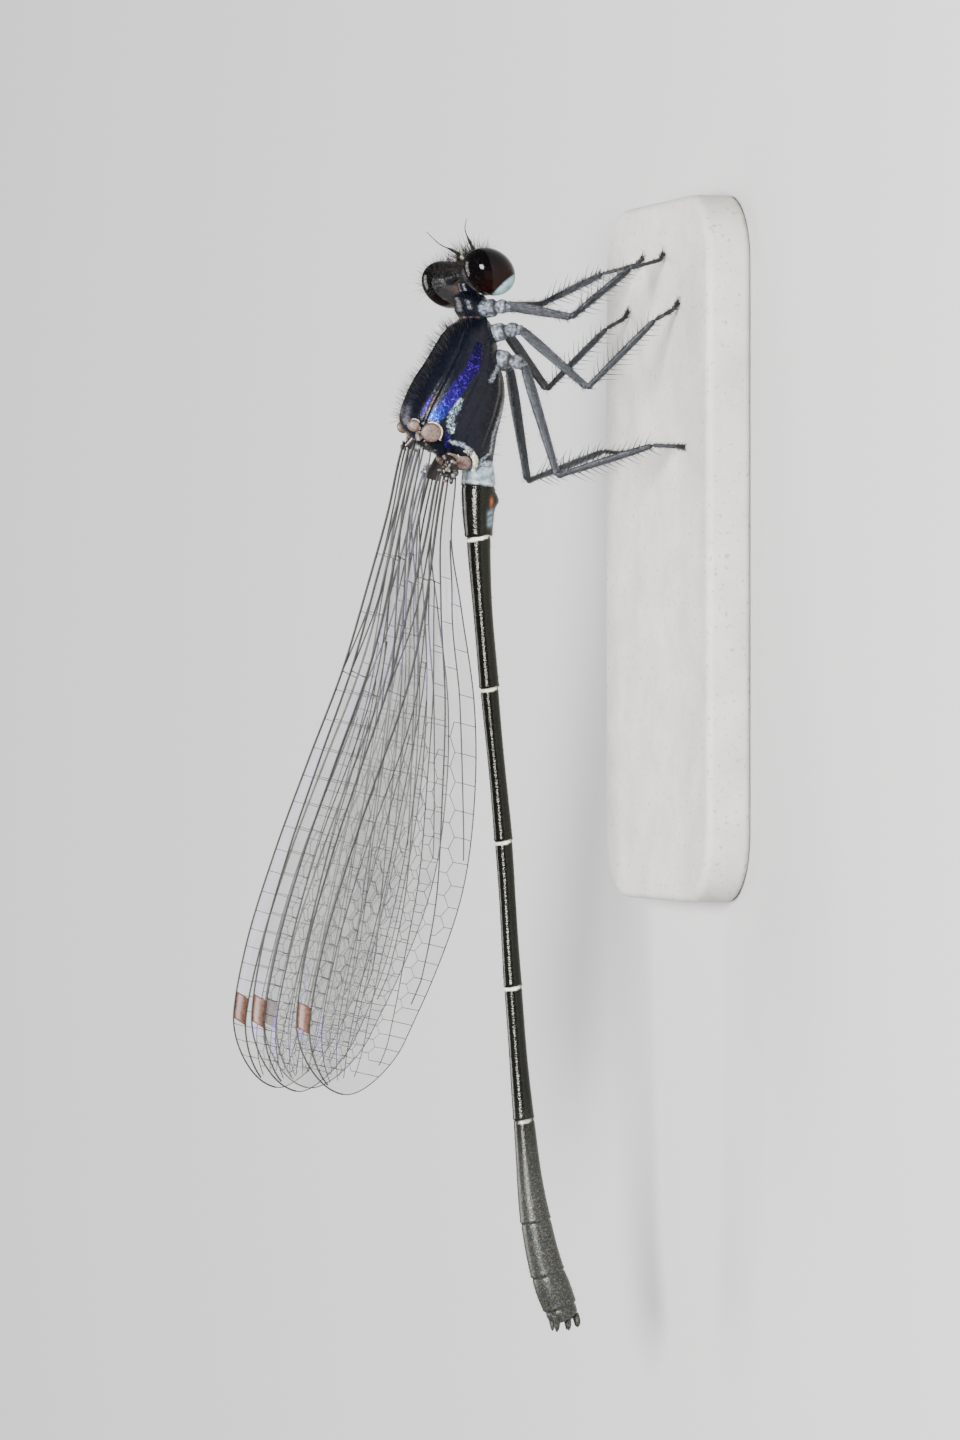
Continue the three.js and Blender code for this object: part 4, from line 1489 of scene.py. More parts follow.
@dataclass
class Abdomen:
    """The abdomen as one skin, with its appendages and hairs."""

    line_y: tuple[float, ...] = (-3.8, -0.44, 6.02, 12.69, 19.05, 24.85, 29.3, 31.6, 33.05, 34.2)
    line_z: tuple[float, ...] = (8.03, 8.0, 7.52, 6.88, 6.45, 5.96, 5.42, 4.87, 4.33, 3.93)
    segments: tuple[Segment, ...] = (
        Segment(-3.72, -2.79, (0.66, 0.72, 0.74)),
        Segment(-2.79, -0.57, (0.74, 0.7, 0.6)),
        Segment(-0.57, 6.02, (0.53, 0.43, 0.44), 1.0),
        Segment(6.02, 12.69, (0.4, 0.375, 0.41), 1.0),
        Segment(12.69, 19.05, (0.385, 0.37, 0.405), 1.0),
        Segment(19.05, 24.85, (0.39, 0.4, 0.47), 1.0),
        Segment(24.85, 29.3, (0.46, 0.54, 0.68), 0.5),
        Segment(29.3, 31.6, (0.66, 0.71, 0.76)),
        Segment(31.6, 33.05, (0.74, 0.78, 0.75)),
        Segment(33.05, 33.68, (0.69, 0.68, 0.6)),
    )
    ring_width: float = 0.14
    ring_slant: float = 0.08
    sides: int = 56
    step: float = 0.06

    # The tail's lobes: how far aside and up they start, their length and their half width.
    lobes: tuple[tuple[float, float, float, float], ...] = (
        (0.44, 0.46, 0.46, 0.17), (0.24, -0.14, 0.42, 0.14), (0.0, -0.56, 0.28, 0.2))
    hair: Coat = Coat(2600, (0.07, 0.18), 0.0055, 0.15, (0.0, 0.9, 0.0), 0.0, 3)

    def middle(self, y: np.ndarray) -> np.ndarray:
        """Places on the middle line."""
        y = np.asarray(y, float)
        return np.stack([np.zeros_like(y), y, profile(self.line_y, self.line_z)(y)], -1)

    def skin(self) -> Shape:
        """The skin, ring after ring.

        Returns:
            The skin, with its tones and unwrap.
        """
        ys, halves = [], []
        for number, segment in enumerate(self.segments):
            count = max(8, int((segment.end - segment.start) / self.step))
            t = np.linspace(0, 1, count)
            y = segment.start + t * (segment.end - segment.start - 0.02)
            half = profile((0, 0.5, 1), segment.halves)(t)
            length = segment.end - segment.start
            from_start, from_end = t * length, (1 - t) * length
            tuck = 0.03 * np.exp(-((from_start / 0.09) ** 2)) if number else 0.0
            lip = 0.02 * np.exp(-((from_end / 0.12) ** 2)) - 0.03 * np.exp(-((from_end / 0.03) ** 2))
            ys.append(y)
            halves.append(half - tuck + lip)
        y, half = np.concatenate(ys), np.concatenate(halves)
        half = half * np.where(y > 33.4, rounding((y - 33.4) / 0.3, 0, 1, 0.7), 1)
        shape = loft(self.middle(y), half * 0.98, half, self.sides)
        angle = np.tile(around(self.sides), len(y))
        along = np.repeat(y, self.sides)
        normals = shape.normals()
        below = np.maximum(0, -np.sin(angle))
        groove = -0.05 * np.exp(-(((angle - 1.5 * math.pi) / 0.16) ** 2)) * smooth(-2.2, -1.0, along)
        hamule = 0.2 * np.exp(-(((along + 2.15) / 0.3) ** 2)) * below**6
        shape.points = shape.points + normals * (groove + hamule)[:, None]
        self.colour(shape, along, angle)
        return shape

    def colour(self, shape: Shape, y: np.ndarray, angle: np.ndarray) -> None:
        """Sets the tones of the skin.

        Args:
            shape: The skin.
            y: Where each of its points is along Y.
            angle: Where each one is round the abdomen, with its underside at 1.5 pi.
        """
        rise = np.sin(angle)
        ring = np.zeros_like(y)
        for segment in self.segments:
            past = y - segment.start - (self.ring_slant if segment.start < 0 else 0.03) * rise
            width = self.ring_width * (0.75 + 0.25 * smooth(-0.7, 0.1, rise))
            band = smooth(-0.02, 0.01, past) * smooth(width + 0.02, width - 0.02, past)
            ring = np.maximum(ring, segment.ring * band * smooth(-0.8, -0.5, rise))
        partial = np.where(y > 24.5, smooth(-0.75, -0.2, rise) * smooth(0.85, 0.6, rise), 1)
        spot_side = np.abs(np.abs(angle - 1.5 * math.pi) - 0.9)
        first = smooth(-2.78, -2.86, y + 0.1 * rise)
        rim = np.exp(-(((y + 2.92 + 0.1 * rise) / 0.04) ** 2))
        patch = np.exp(-(((y + 1.38) / 0.4) ** 4)) * np.exp(-(((spot_side + 0.12) / 0.38) ** 4))
        shape.tones = {
            "ring": np.maximum(ring * partial * 0.98, rim * 0.45),
            "bloom": np.maximum(first * (0.75 + 0.25 * np.maximum(0, -rise)), patch * 0.85),
            "orange": np.exp(-(((y + 2.08) / 0.2) ** 2)) * np.exp(-((spot_side / 0.12) ** 2)),
            "dull": smooth(23.5, 28.5, y),
        }

    def tail(self) -> Shape:
        """The claspers and the lobes between them at the tail tip.

        Returns:
            The lobes, with their tones.
        """
        end = self.segments[-1].end
        parts = []
        for side in Side:
            for x, up, length, thick in self.lobes:
                t = spread(14, False)
                start = self.middle(np.array([end - 0.3]))[0] + [side.sign * x, 0, up]
                path = start + np.stack(
                    [-side.sign * 0.1 * t**2, t * (length + 0.3), -0.1 * t - 0.05 * np.sin(3 * t)], 1)
                size = thick * (1 - 0.35 * t**2) * rounding(t, 0, 0.35, 0.2)
                parts.append(loft(path, size, size * 0.8, 14))
        shape = merged(parts)
        return replace(shape, tones={"dull": np.ones(len(shape.points))}, unwrap=None)

    def coat(self, skin: Shape) -> Shape:
        """Short fine hairs, denser near both ends.

        Args:
            skin: The abdomen.

        Returns:
            The hairs.
        """
        y = skin.points[:, 1]
        weight = 0.25 + np.exp(-(((y + 2) / 2.2) ** 2)) + 0.8 * smooth(27, 33, y)
        return self.hair.on(skin, weight * (1 - skin.tones["ring"]))

    def build(self, look: Finishes) -> None:
        """Makes every piece of the abdomen.

        Args:
            look: The finishes.
        """
        skin = self.skin()
        nodes = [f"abdomen_s{number}" for number in range(1, len(self.segments) + 1)]
        whole = merged([skin, self.tail()]).build("abdomen_skin", [look.abdomen])
        register(whole, "abdomen", *nodes)
        register(self.coat(skin).build("abdomen_hairs", [look.light_hair]), "abdomen")


@dataclass(frozen=True)
class LegPlan:
    """One leg's joints on the left side, with its knee on each side."""

    name: str
    hip: Triple
    trochanter: Triple
    knees: dict[Side, Triple]
    ankle: Triple
    toe: tuple[float, float]
    spines: int
    pale_spines: bool


@dataclass(frozen=True)
class Limb:
    """A length of leg: its half width at stations, how square and how flat it is, and its rings."""

    stations: tuple[float, ...]
    halves: tuple[float, ...]
    power: float = 2.0
    flat: float = 1.0
    rings: int = 60


@dataclass
class Leg:
    """One leg as one skin, with its spines."""

    plan: LegPlan
    side: Side
    coxa: Limb = Limb((0, 0.3, 0.42, 0.5, 0.75, 0.9, 1), (0.4, 0.4, 0.38, 0.29, 0.32, 0.26, 0.17))
    ring: Limb = Limb((0, 0.3, 0.55, 0.7, 1), (0.16, 0.23, 0.22, 0.16, 0.18), rings=32)
    femur: Limb = Limb((0, 0.12, 0.6, 0.94, 1), (0.175, 0.212, 0.198, 0.165, 0.17), 3.2, 0.9)
    tibia: Limb = Limb((0, 0.06, 0.3, 0.9, 1), (0.16, 0.13, 0.14, 0.13, 0.11), 2.8, 0.95)
    foot: Limb = Limb((0, 0.7, 1), (0.07, 0.088, 0.08), rings=16)
    claw_length: float = 0.3
    spine_radius: float = 0.028
    bristle_radius: float = 0.009
    sides: int = 20

    def at(self, place: Sequence[float]) -> np.ndarray:
        """A place on this side."""
        return np.array(place) * [self.side.sign, 1, 1]

    def joint(self, start: np.ndarray, end: np.ndarray, limb: Limb) -> Shape:
        """A length of leg between two places.

        Args:
            start: Where it starts.
            end: Where it ends.
            limb: Its sizes.

        Returns:
            The closed skin.
        """
        t = spread(limb.rings)
        along = unit(end - start)
        up = unit(np.cross(along, [self.side.sign, 0.2, 0.1]))
        size = profile(limb.stations, limb.halves)(t) * rounding(t, 0.05, 0.05, 0.2)
        path = start + (end - start) * t[:, None]
        return loft(path, size * limb.flat, size, self.sides, up, limb.power)

    def places(self) -> list[np.ndarray]:
        """The leg's corners.

        Returns:
            The hip, trochanter, knee, ankle, heel and toe.
        """
        plan = self.plan
        ankle = self.at(plan.ankle)
        toe = self.at((*plan.toe, 0.09))
        heel = ankle * 0.42 + toe * 0.58
        heel[2] = 0.3
        return [self.at(plan.hip), self.at(plan.trochanter), self.at(plan.knees[self.side]), ankle, heel, toe]

    def skin(self) -> Shape:
        """Coxa, trochanter, femur, tibia, tarsus and claws.

        Returns:
            The leg's skin, with its tones.
        """
        hip, trochanter, knee, ankle, heel, toe = self.places()
        down = unit(trochanter - hip)
        coxa = self.joint(hip - down * 0.25, trochanter, self.coxa)
        ring = self.joint(trochanter - down * 0.12, trochanter + unit(knee - trochanter) * 0.32, self.ring)
        femur = self.joint(trochanter, knee, self.femur)
        tibia = self.joint(knee - unit(ankle - knee) * 0.05, ankle, self.tibia)
        for shape, limb, bloom, waists in (
            (coxa, self.coxa, 0.85, (0.5, 0.97)),
            (ring, self.ring, 0.6, (0.05, 0.7)),
        ):
            t = np.repeat(spread(limb.rings), self.sides)
            gap = np.max([np.exp(-(((t - waist) / 0.05) ** 2)) for waist in waists], axis=0)
            shape.tones = {"bloom": bloom * (1 - gap), "dark": gap * 0.8}
        for shape, limb in ((femur, self.femur), (tibia, self.tibia)):
            angle = np.tile(around(self.sides), limb.rings)
            shape.tones = {"bloom": smooth(0.42, 0.1, np.abs(np.cos(2 * angle)))}
        foot = [*self.tarsus(ankle, heel, toe), *self.claws(heel, toe)]
        return merged([coxa, ring, femur, tibia, *foot]).bare()

    def tarsus(self, ankle: np.ndarray, heel: np.ndarray, toe: np.ndarray) -> list[Shape]:
        """The foot's joints.

        Args:
            ankle: Where the first joint starts.
            heel: Where the foot comes down.
            toe: Where the last joint ends.

        Returns:
            The joints, with their tones.
        """
        parts = []
        corners = [ankle, ankle * 0.55 + heel * 0.45, heel, heel * 0.5 + toe * 0.5, toe]
        for i, (a, b) in enumerate(zip(corners[:-1], corners[1:])):
            part = self.joint(a, b + (b - a) * 0.04, self.foot)
            level = np.ones(len(part.points))
            part.tones = {"dark": level * 0.45, "bloom": level * 0.1 * (i == 0)}
            parts.append(part)
        return parts

    def claws(self, heel: np.ndarray, toe: np.ndarray) -> list[Shape]:
        """The two claws.

        Args:
            heel: Where the foot comes down.
            toe: Where the claws start.

        Returns:
            The claws, with their tones.
        """
        parts = []
        onward = unit((toe - heel) * [1, 1, 0])
        aside = np.cross(UP, onward)
        for turn in (-1, 1):
            t = np.linspace(0, 1, 12)
            path = toe + onward * (t * self.claw_length)[:, None]
            path = path + aside * (turn * 0.16 * np.sin(1.4 * t))[:, None]
            path = path + UP * (0.05 * np.sin(2.6 * t) - 0.06 * t)[:, None]
            size = 0.035 * (1 - 0.8 * t)
            claw = loft(path, size, size, 8)
            claw.tones = {"dark": np.ones(len(claw.points))}
            parts.append(claw)
        return parts

    def spines(self) -> Shape:
        """The two rows of long spines on the tibia.

        Returns:
            The spines, as closed meshes.
        """
        _, _, knee, ankle, _, _ = self.places()
        along = unit(ankle - knee)
        front = np.array([0.0, 1.0, 0.0])
        front = unit(front - along * (front @ along))
        outward = np.cross(along, front)
        roots, heads, lengths, unwrap = [], [], [], []
        count = self.plan.spines * 2
        for row in (-1, 1):
            for i in range(count):
                t = 0.1 + 0.86 * (i + 0.5 * (row > 0)) / count
                roots.append(knee + (ankle - knee) * t)
                heads.append(front * row + outward * 0.3 * RNG.normal() + along * (0.7 + 0.2 * RNG.random()))
                lengths.append((1.05 if i % 2 else 0.85) * (1 - 0.4 * t) * (0.9 + 0.2 * RNG.random()))
                unwrap.append((0.1 + 0.8 * t, 0.3 + 0.2 * (row > 0)))
        roots, heads, lengths, unwrap = (np.array(row) for row in (roots, heads, lengths, unwrap))
        thick = np.full(len(roots), self.spine_radius)
        return hairs(roots, heads, lengths, thick, unwrap, along * 0.12 * lengths[:, None], 5)

    def bristles(self) -> Shape:
        """Fine short bristles on every length from the trochanter to the toe.

        Returns:
            The bristles, as closed meshes.
        """
        _, trochanter, knee, ankle, heel, toe = self.places()
        parts = []
        dense = 520 if self.plan.name == "fore" else 260
        for a, b, number, size, level in (
            (trochanter, knee, 260, 0.19, 0.6),
            (knee, ankle, dense, 0.13, 0.7),
            (ankle, heel, 110, 0.08, 0.8),
            (heel, toe, 110, 0.08, 0.9),
        ):
            way = unit(b - a)
            t = RNG.random(number)
            turn = unit(np.cross(way, RNG.normal(size=(number, 3))))
            start = a + (b - a) * t[:, None] + turn * size * 0.9
            reach = RNG.uniform(0.1, 0.28, number) * (1.0 if size > 0.08 else 0.7)
            spots = np.stack([0.05 + 0.9 * t, np.full(number, level)], 1)
            thick = np.full(number, self.bristle_radius)
            parts.append(hairs(start, turn + way * 0.8, reach, thick, spots, None, 3))
        return merged(parts)

    def build(self, look: Finishes) -> None:
        """Makes the leg's pieces.

        Args:
            look: The finishes.
        """
        name = f"leg_{self.plan.name}_{self.side.word}"
        end = f"{self.plan.name}_{self.side.letter}"
        nodes = [f"{part}_{end}" for part in ("coxa", "femur", "tibia", "tarsus")]
        register(self.skin().build(name, [look.leg]), "leg", *nodes)
        finish = look.pale_spine if self.plan.pale_spines else look.dark_hair
        register(self.spines().build(f"{name}_spines", [finish]), "leg")
        register(self.bristles().build(f"{name}_hairs", [look.dark_hair]), "leg")


LEGS = (
    LegPlan("fore", (0.5, -10.52, 7.62), (1.0, -10.62, 6.95),
            {Side.RIGHT: (2.6, -10.07, 4.53), Side.LEFT: (2.6, -10.86, 4.53)},
            (2.2, -12.25, 1.76), (1.6, -12.95), 5, True),
    LegPlan("mid", (0.72, -9.45, 7.35), (1.2, -9.64, 6.5),
            {Side.RIGHT: (3.3, -6.98, 4.0), Side.LEFT: (3.3, -7.19, 4.0)},
            (3.8, -9.94, 1.1), (3.9, -10.7), 6, True),
    LegPlan("hind", (0.8, -8.3, 7.2), (1.2, -8.1, 6.3),
            {Side.RIGHT: (2.45, -3.18, 5.12), Side.LEFT: (2.45, -3.1, 5.12)},
            (3.9, -4.49, 1.22), (4.75, -4.4), 7, False),
)


@dataclass(frozen=True)
class Vein:
    """A long vein: its share of the chord at stations, its start and end, its radius, and any zigzag."""

    stations: tuple[float, ...]
    shares: tuple[float, ...]
    start: float
    end: float
    radius: float
    zigzag: float = 0.0

    def share(self, s: np.ndarray) -> np.ndarray:
        """How far across the wing the vein runs at places along it."""
        return np.clip(profile(self.stations, self.shares)(np.asarray(s, float)), 0, 1)


@dataclass(frozen=True)
class WingPlan:
    """One wing's root and tip on the left side, its bow, its trailing edge and where its hinge starts."""

    name: str
    root: Triple
    tip: Triple
    bow: tuple[float, ...]
    trailing: tuple[float, ...]
    hinge_from: Triple


class WingSlot(IntEnum):
    """The finishes of a wing's network, by slot."""

    VEIN = 0
    STIGMA = 1
    HINGE = 2
    PALE = 3
    PLATE = 4


@dataclass
class Wing:
    """One wing: a pleated clear membrane, its network of veins and its stigma."""

    plan: WingPlan
    side: Side
    bow_at: tuple[float, ...] = (0, 0.12, 0.3, 0.6, 1)
    at: tuple[float, ...] = (-0.045, 0, 0.1, 0.2, 0.35, 0.5, 0.65, 0.8, 0.88, 1)
    leading: tuple[float, ...] = (0.2, 0.4, 0.52, 0.72, 1.05, 1.7, 2.3, 2.65, 2.6, 2.05)
    rounded_from: float = 0.9
    inboard: float = -0.008
    stigma: tuple[float, float] = (0.872, 0.913)
    nodus: float = 0.355
    arculus: float = 0.168
    pleat: float = 0.06

    # Crossveins before the nodus: their station, and the two long veins that each one joins.
    single_crossveins: tuple[tuple[float, int, int], ...] = (
        (0.168, 0, 2), (0.26, 0, 2), (0.26, 2, 3), (0.3, 3, 7), (0.335, 2, 3), (0.355, 2, 3), (0.21, 11, 13),
        (0.27, 11, 13), (0.33, 11, 13), (0.16, 13, 15), (0.23, 13, 15), (0.3, 13, 15), (0.2, 15, 16),
        (0.27, 15, 16), (0.34, 15, 16))
    cross_radius: float = 0.019
    strong_radius: float = 0.03
    bead_slots: tuple[WingSlot, ...] = (
        WingSlot.VEIN, WingSlot.HINGE, WingSlot.PALE, WingSlot.PALE, WingSlot.PLATE)
    bead_count: int = 26
    sheet_columns: int = 200
    sheet_rows: int = 90

    def veins(self) -> list[Vein]:
        """The long veins.

        Returns:
            The veins, in order from the leading edge to the trailing edge.
        """
        inboard = self.inboard
        return [
            Vein((0, 1), (0.0, 0.0), inboard, 1.0, 0.058),
            Vein((0, 0.2, self.nodus), (0.17, 0.15, 0.0), inboard, self.nodus, 0.04),
            Vein((0, 0.2, 0.5, 0.87, 1), (0.36, 0.29, 0.15, 0.115, 0.12), inboard, 0.99, 0.06),
            Vein((0.17, 0.35, 0.6, 1), (0.31, 0.33, 0.23, 0.24), 0.17, 0.985, 0.036),
            Vein((0.6, 0.8, 1), (0.27, 0.3, 0.33), 0.6, 0.98, 0.02, 0.012),
            Vein((0.42, 0.6, 0.8, 1), (0.345, 0.32, 0.35, 0.42), 0.42, 0.98, 0.029),
            Vein((0.62, 0.8, 1), (0.37, 0.4, 0.47), 0.62, 0.975, 0.02, 0.014),
            Vein((0.3, 0.45, 0.7, 1), (0.4, 0.4, 0.44, 0.53), 0.3, 0.975, 0.032),
            Vein((0.56, 0.8, 1), (0.455, 0.52, 0.6), 0.56, 0.97, 0.02, 0.016),
            Vein((0.36, 0.6, 0.8, 1), (0.45, 0.52, 0.58, 0.7), 0.36, 0.97, 0.029),
            Vein((0.5, 0.7, 0.9), (0.55, 0.63, 0.74), 0.48, 0.945, 0.02, 0.018),
            Vein((0.17, 0.35, 0.6, 0.8, 0.95), (0.44, 0.52, 0.64, 0.76, 0.9), 0.17, 0.945, 0.034),
            Vein((0.42, 0.6, 0.8), (0.61, 0.71, 0.84), 0.42, 0.87, 0.02, 0.02),
            Vein((0, 0.2, 0.4, 0.6, 0.8), (0.58, 0.6, 0.68, 0.78, 0.92), inboard, 0.84, 0.042),
            Vein((0.3, 0.5, 0.7), (0.71, 0.81, 0.92), 0.3, 0.74, 0.021, 0.022),
            Vein((0.1, 0.2, 0.35, 0.62), (0.97, 0.82, 0.83, 0.975), 0.1, 0.6, 0.036),
            Vein((0, 1), (1.0, 1.0), inboard, 1.0, 0.036),
        ]

    def outline(self, s: np.ndarray) -> tuple[np.ndarray, np.ndarray]:
        """The leading and trailing edges.

        Args:
            s: Stations along the wing.

        Returns:
            How far each edge is from the wing's axis.
        """
        past = np.clip((s - self.rounded_from) / (1 - self.rounded_from), 0, 1)
        tip = np.sqrt(np.maximum(1 - past**2, 0))
        lead, trail = (profile(self.at, edge)(s) * tip for edge in (self.leading, self.plan.trailing))
        return lead, trail

    def place(self, s: np.ndarray, share: np.ndarray, lift: float = 0.0) -> np.ndarray:
        """Places on the wing.

        Args:
            s: How far along the wing, from 0 at its root to 1.
            share: How far across it, from 0 at the leading edge to 1.
            lift: How far out of its surface.

        Returns:
            The places.
        """
        root = np.array(self.plan.root) * [self.side.sign, 1, 1]
        tip = np.array(self.plan.tip) * [self.side.sign, 1, 1]
        along = unit(tip - root)
        outward = unit(np.cross(along, UP))
        upward = np.cross(outward, along)
        lead, trail = self.outline(s)
        out = profile(self.bow_at, self.plan.bow)(s) * self.side.sign + self.fold(s, share) + lift
        reach = (s * np.linalg.norm(tip - root))[..., None]
        across = (lead - share * (lead - trail))[..., None]
        return root + along * reach + upward * across + outward * out[..., None]

    def fold(self, s: np.ndarray, share: np.ndarray) -> np.ndarray:
        """How far the pleated membrane stands out of its middle plane."""
        wave = np.sin(share * 2 * math.pi * 5.5 + 2.2 * s)
        return self.pleat * wave * smooth(-0.01, 0.1, s) * smooth(1, 0.93, s) * (1.25 - 0.75 * share)

    def stations(self) -> np.ndarray:
        """Where crossveins meet the long veins, closer together to the tip.

        Returns:
            The stations along the wing.
        """
        places = [0.385]
        while places[-1] < 0.965:
            places.append(places[-1] + 0.024 - 0.013 * float(smooth(0.35, 0.95, np.array(places[-1]))))
        return np.array(places)

    def network(self) -> Shape:
        """The long veins and the crossveins between them.

        Returns:
            The network.
        """
        veins = self.veins()
        stations = self.stations()
        parts = []
        for number, vein in enumerate(veins):
            if vein.zigzag:
                s = stations[(stations > vein.start) & (stations < vein.end)]
                share = self.meeting(vein, number, s, stations)
            else:
                s = vein.start + (vein.end - vein.start) * np.sin(np.linspace(0, math.pi / 2, 130))
                share = vein.share(s)
            path = self.place(s, share)
            size = vein.radius * (1 - 0.4 * np.clip(s, 0, 1))
            parts.append(loft(path, size, size, 6, unit(np.cross(path[-1] - path[0], UP))))
        parts.append(self.crossveins(veins, stations))
        return merged(parts)

    def meeting(self, vein: Vein, number: int, s: np.ndarray, stations: np.ndarray) -> np.ndarray:
        """Where across the wing a vein meets its crossveins: to and fro on a zigzag vein."""
        order = np.searchsorted(stations, s - 1e-9)
        return np.clip(vein.share(s) + vein.zigzag * np.where((order + number) % 2 == 0, 1, -1), 0, 1)

    def crossveins(self, veins: list[Vein], stations: np.ndarray) -> Shape:
        """Short veins between neighbouring long veins.

        Args:
            veins: The long veins.
            stations: Where the crossveins stand.

        Returns:
            The crossveins.
        """
        starts, ends = [], []

        def join(s: float, first: float, second: float, slant: float) -> None:
            """Adds a crossvein between two shares of the chord, its second end further along by the slant."""
            starts.append((s, first))
            ends.append((s + slant, second))

        def reach(vein: Vein, number: int, s: float) -> float:
            """How far across the wing a vein is where a crossvein meets it."""
            place = np.array([s])
            return float((self.meeting(vein, number, place, stations) if vein.zigzag else vein.share(place))[0])

        for order, s in enumerate(stations):
            here = [(i, vein) for i, vein in enumerate(veins) if vein.start <= s <= vein.end]
            for (i, a), (_, b) in zip(here[:-1], here[1:]):
                zigzag = bool(a.zigzag or b.zigzag)
                if (order + i) % 2 if zigzag else order % 2:
                    continue
                first, second = reach(a, i, s), reach(b, order + 1, s)
                if second - first < 0.02 or (i == 0 and self.stigma[0] < s < self.stigma[1]):
                    continue
                join(s, first, second, 0.0 if zigzag else 0.0015)
        for s, low, high, slant in (
            *((s, low, high, 0.002) for s, low, high in self.single_crossveins),
            (self.nodus, 0, 2, 0.006),
            (self.arculus, 2, 13, 0.004),
        ):
            join(s, float(veins[low].share(s)), float(veins[high].share(s)), slant)
        a, b = np.array(starts), np.array(ends)
        roots, tips = self.place(a[:, 0], a[:, 1]), self.place(b[:, 0], b[:, 1])
        lengths = np.linalg.norm(tips - roots, axis=1)
        thick = np.full(len(a), self.cross_radius)
        thick[-2:] = self.strong_radius
        return hairs(roots, tips - roots, lengths, thick, np.zeros((len(a), 2)), None, 3, 0.0)

    def hinge(self) -> tuple[Shape, Shape]:
        """The dark joint from the body to the veins, and the small sclerites on it.

        Returns:
            The joint and the sclerites.
        """
        sign = np.array([self.side.sign, 1, 1])
        t = np.linspace(0, 1, 24)
        middle = self.place(np.array([0.0]), np.array([0.5]))[0]
        path = np.array(self.plan.hinge_from) * sign * (1 - t)[:, None] + middle * t[:, None]
        outward = np.array([self.side.sign, 0, 0.1])
        joint = loft(path, 0.26 + 0.12 * t**2, 0.13 - 0.05 * t, 20, outward)
        share = np.linspace(-0.06, 1.06, self.bead_count)
        s = -0.014 + 0.01 * RNG.normal(size=self.bead_count)
        spots = self.place(s, share) + outward * 0.12
        beads = []
        for spot, size in zip(spots, RNG.uniform(0.05, 0.12, self.bead_count)):
            stretch = size * RNG.uniform(0.7, 1.5, 3)
            beads.append(ball(spot, stretch, None, 14).in_slot(RNG.choice(self.bead_slots)))
        return joint, merged(beads)

    def membrane(self) -> Shape:
        """The clear membrane as a pleated sheet.

        Returns:
            The sheet.
        """
        along = self.inboard + (1 - self.inboard) * np.sin(np.linspace(0, math.pi / 2, self.sheet_columns))
        s, share = np.meshgrid(along, np.linspace(0, 1, self.sheet_rows), indexing="ij")
        return Shape(self.place(s.ravel(), share.ravel()), grid_quads(self.sheet_columns, self.sheet_rows))

    def patch(self) -> Shape:
        """The coloured stigma near the tip, as a thin closed plate.

        Returns:
            The plate.
        """
        columns, rows = 16, 6
        across = np.linspace(0.008, 0.112, rows)
        s, share = np.meshgrid(np.linspace(*self.stigma, columns), across, indexing="ij")
        s = s + 0.07 * (share - 0.06)
        layers = [self.place(s.ravel(), share.ravel(), lift) for lift in (0.028, -0.028)]
        count = columns * rows
        faces = []
        for a, b, c, d in grid_quads(columns, rows):
            faces += [(a, b, c, d), (d + count, c + count, b + count, a + count)]
        rim = [i * rows for i in range(columns)] + [(columns - 1) * rows + j for j in range(1, rows)]
        rim += [i * rows + rows - 1 for i in range(columns - 2, -1, -1)] + list(range(rows - 2, 0, -1))
        for a, b in zip(rim, rim[1:] + rim[:1]):
            faces.append((a, b, b + count, a + count))
        return Shape(np.concatenate(layers), faces)

    def build(self, look: Finishes) -> None:
        """Makes the wing's pieces.

        Args:
            look: The finishes.
        """
        name = f"{self.plan.name}_{self.side.word}"
        joint, beads = self.hinge()
        whole = merged([self.network().in_slot(WingSlot.VEIN), self.patch().in_slot(WingSlot.STIGMA),
                        joint.in_slot(WingSlot.HINGE), beads]).bare()
        dress = [look.vein, look.stigma, look.hinge, look.pale, look.plate]
        register(whole.build(f"{name}_veins", dress), "wing", f"{self.plan.name}_{self.side.letter}")
        register(self.membrane().build(f"{name}_membrane", [look.membrane]), "wing")


WINGS = (
    WingPlan("forewing", (0.95, -4.4, 10.8), (1.9, 23.4, 16.65), (0, -0.42, -0.5, -0.35, 0),
             (-0.2, -0.4, -0.56, -1.3, -2.35, -2.92, -3.02, -2.78, -2.3, -1.4), (0.7, -5.2, 10.4)),
    WingPlan("hindwing", (1.35, -3.14, 9.8), (3.2, 23.5, 14.9), (0, 0.24, 0.2, 0.1, 0),
             (-0.2, -0.4, -0.62, -1.5, -2.83, -3.56, -3.72, -3.03, -2.45, -1.55), (0.6, -4.4, 9.35)),
)


@dataclass
class DisplayBase:
    """The plain base that the insect stands on."""

    corner: float = 3.0
    soft: float = 0.35

    def build(self, look: Finishes) -> None:
        """Makes the base with softly rounded edges.

        Args:
            look: The finishes.
        """
        half = (BASE_HIGH - BASE_LOW)[:2] / 2
        levels = []
        for turn in np.linspace(0, math.pi / 2, 7):
            levels.append((self.soft * (1 - math.sin(turn)), -BASE_TOP + self.soft * (1 - math.cos(turn))))
        for turn in np.linspace(math.pi / 2, 0, 7):
            levels.append((self.soft * (1 - math.sin(turn)), -self.soft * (1 - math.cos(turn))))
        rings = []
        for inset, z in levels:
            ring = []
            for quarter, (sx, sy) in enumerate(((1, 1), (-1, 1), (-1, -1), (1, -1))):
                for step in np.linspace(0, math.pi / 2, 13):
                    angle = quarter * math.pi / 2 + step
                    radius = self.corner - inset
                    ring.append((sx * (half[0] - self.corner) + radius * math.cos(angle),
                                 sy * (half[1] - self.corner) + radius * math.sin(angle), z))
            rings.append(ring)
        shape = Shape(np.array(rings).reshape(-1, 3), closed_rings(len(rings), len(rings[0])))
        register(shape.build("display_base", [look.base]), "base", "stand_base")


